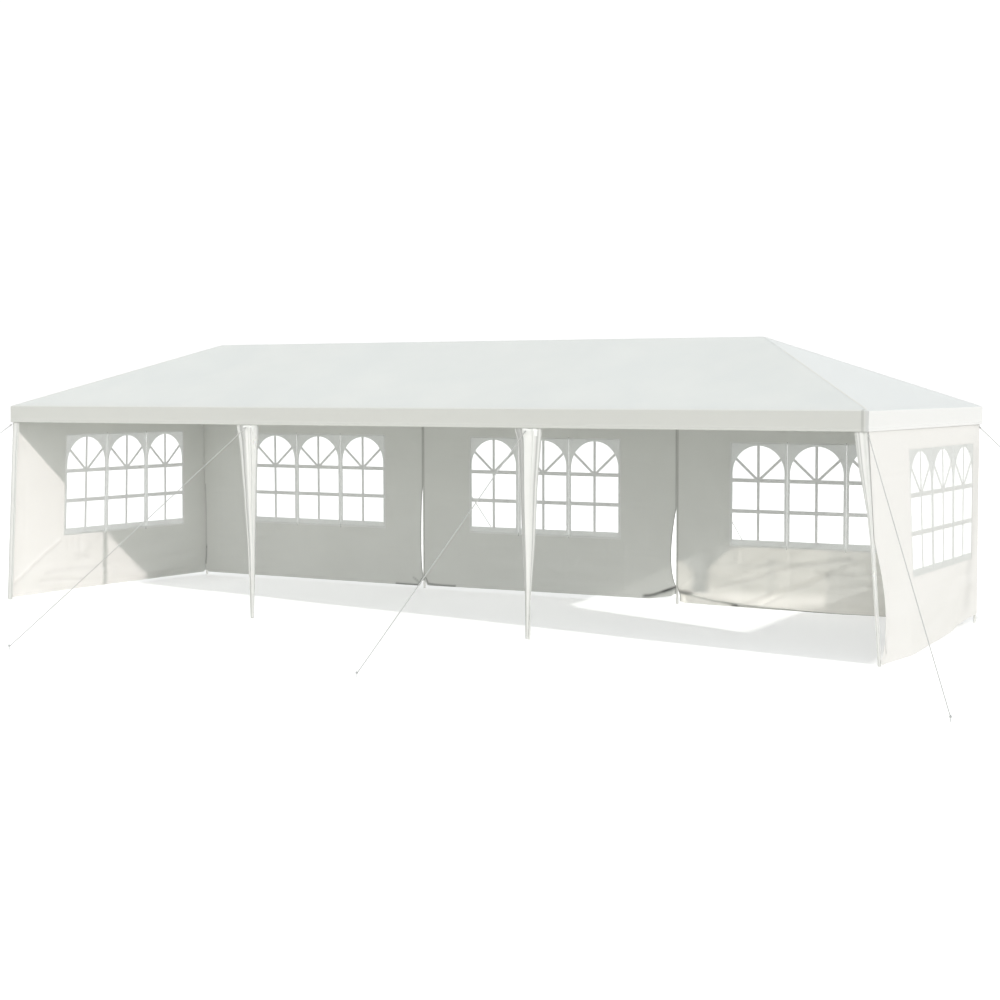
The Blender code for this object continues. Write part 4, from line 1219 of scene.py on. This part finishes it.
def addSun(name, look, lit, state, clear, only=()):
    lamp = bpy.data.lights.new(name, "SUN")
    lamp.energy = look["power"]
    lamp.angle = radians(look["angle"])
    lamp.color = look.get("tint", (1.0, 0.985, 0.955))
    sun = bpy.data.objects.new(name, lamp)
    sun.rotation_euler = Vector(look["ray"]).to_track_quat("-Z", "Y").to_euler()
    bpy.context.scene.collection.objects.link(sun)
    sun.light_linking.receiver_collection = linkGroup(name + "Lit", lit, state)
    sun.light_linking.blocker_collection = (linkGroup(name + "Cards", only, "INCLUDE") if only
                                            else linkGroup(name + "Clear", clear, "EXCLUDE"))
    return sun


def makeStudio():
    floor = litFloor()
    cards = [makeCard("wall_card", wallCard, suns["wallSun"]["ray"]),
             makeCard("ground_card", groundCard, suns["floorSun"]["ray"])]
    films = [pieces[1] for pieces in hung.values()] + cards
    windows = [item for pieces in hung.values() for item in pieces[1:]] + cards
    nearPosts = [item for item in bpy.data.objects if item.name.startswith(("front_left_", "front_mid_left_"))]
    legs = [item for item in bpy.data.objects if item.name.endswith("_leg")]
    addSun("tentSun", suns["tentSun"], hung["left"] + ropePieces + [floor], "EXCLUDE", films)
    addSun("endSun", suns["endSun"], hung["left"][:1], "INCLUDE", films + nearPosts)
    addSun("wallSun", suns["wallSun"], hung["back_right"][:1], "INCLUDE", [], cards[:1])
    addSun("floorSun", suns["floorSun"], [floor], "INCLUDE", [], cards[1:])
    addSun("roomFill", suns["roomFill"], hung["right"] + ropePieces + [floor, roofCover, seamTapes], "EXCLUDE", windows)
    addSun("drapeFill", suns["drapeFill"], drapePieces + legs, "INCLUDE", windows)
    fill = addSun("endFill", suns["endFill"], hung["left"], "INCLUDE", windows)
    fill.data.use_shadow = False

    world = bpy.data.worlds.new("paleRoom")
    bpy.context.scene.world = world
    world.use_nodes = True
    tree = world.node_tree
    tree.nodes.clear()
    path = addNode(tree, "ShaderNodeLightPath")
    strength = ranged(tree, path.outputs["Is Camera Ray"], 0.0, 1.0, light["sky"], light["backdrop"])
    tint = mixColour(tree, path.outputs["Is Camera Ray"], light["skyTint"], (1, 1, 1, 1))
    sky = addNode(tree, "ShaderNodeBackground", {"Color": tint, "Strength": strength})
    addNode(tree, "ShaderNodeOutputWorld", {"Surface": sky.outputs[0]})

    lens = bpy.data.cameras.new("view")
    lens.lens = cameraView["lens"]
    lens.sensor_width = 36.0
    lens.clip_end = 300
    camera = bpy.data.objects.new("view", lens)
    camera.location = cameraView["place"]
    turn = Euler((radians(90 + cameraView["pitch"]), 0, radians(cameraView["yaw"]))).to_matrix()
    camera.rotation_euler = (turn @ Matrix.Rotation(radians(cameraView["roll"]), 3, "Z")).to_euler()
    bpy.context.scene.collection.objects.link(camera)
    bpy.context.scene.camera = camera
    bpy.context.scene.view_settings.view_transform = "Standard"


makeStudio()
print("studio set")
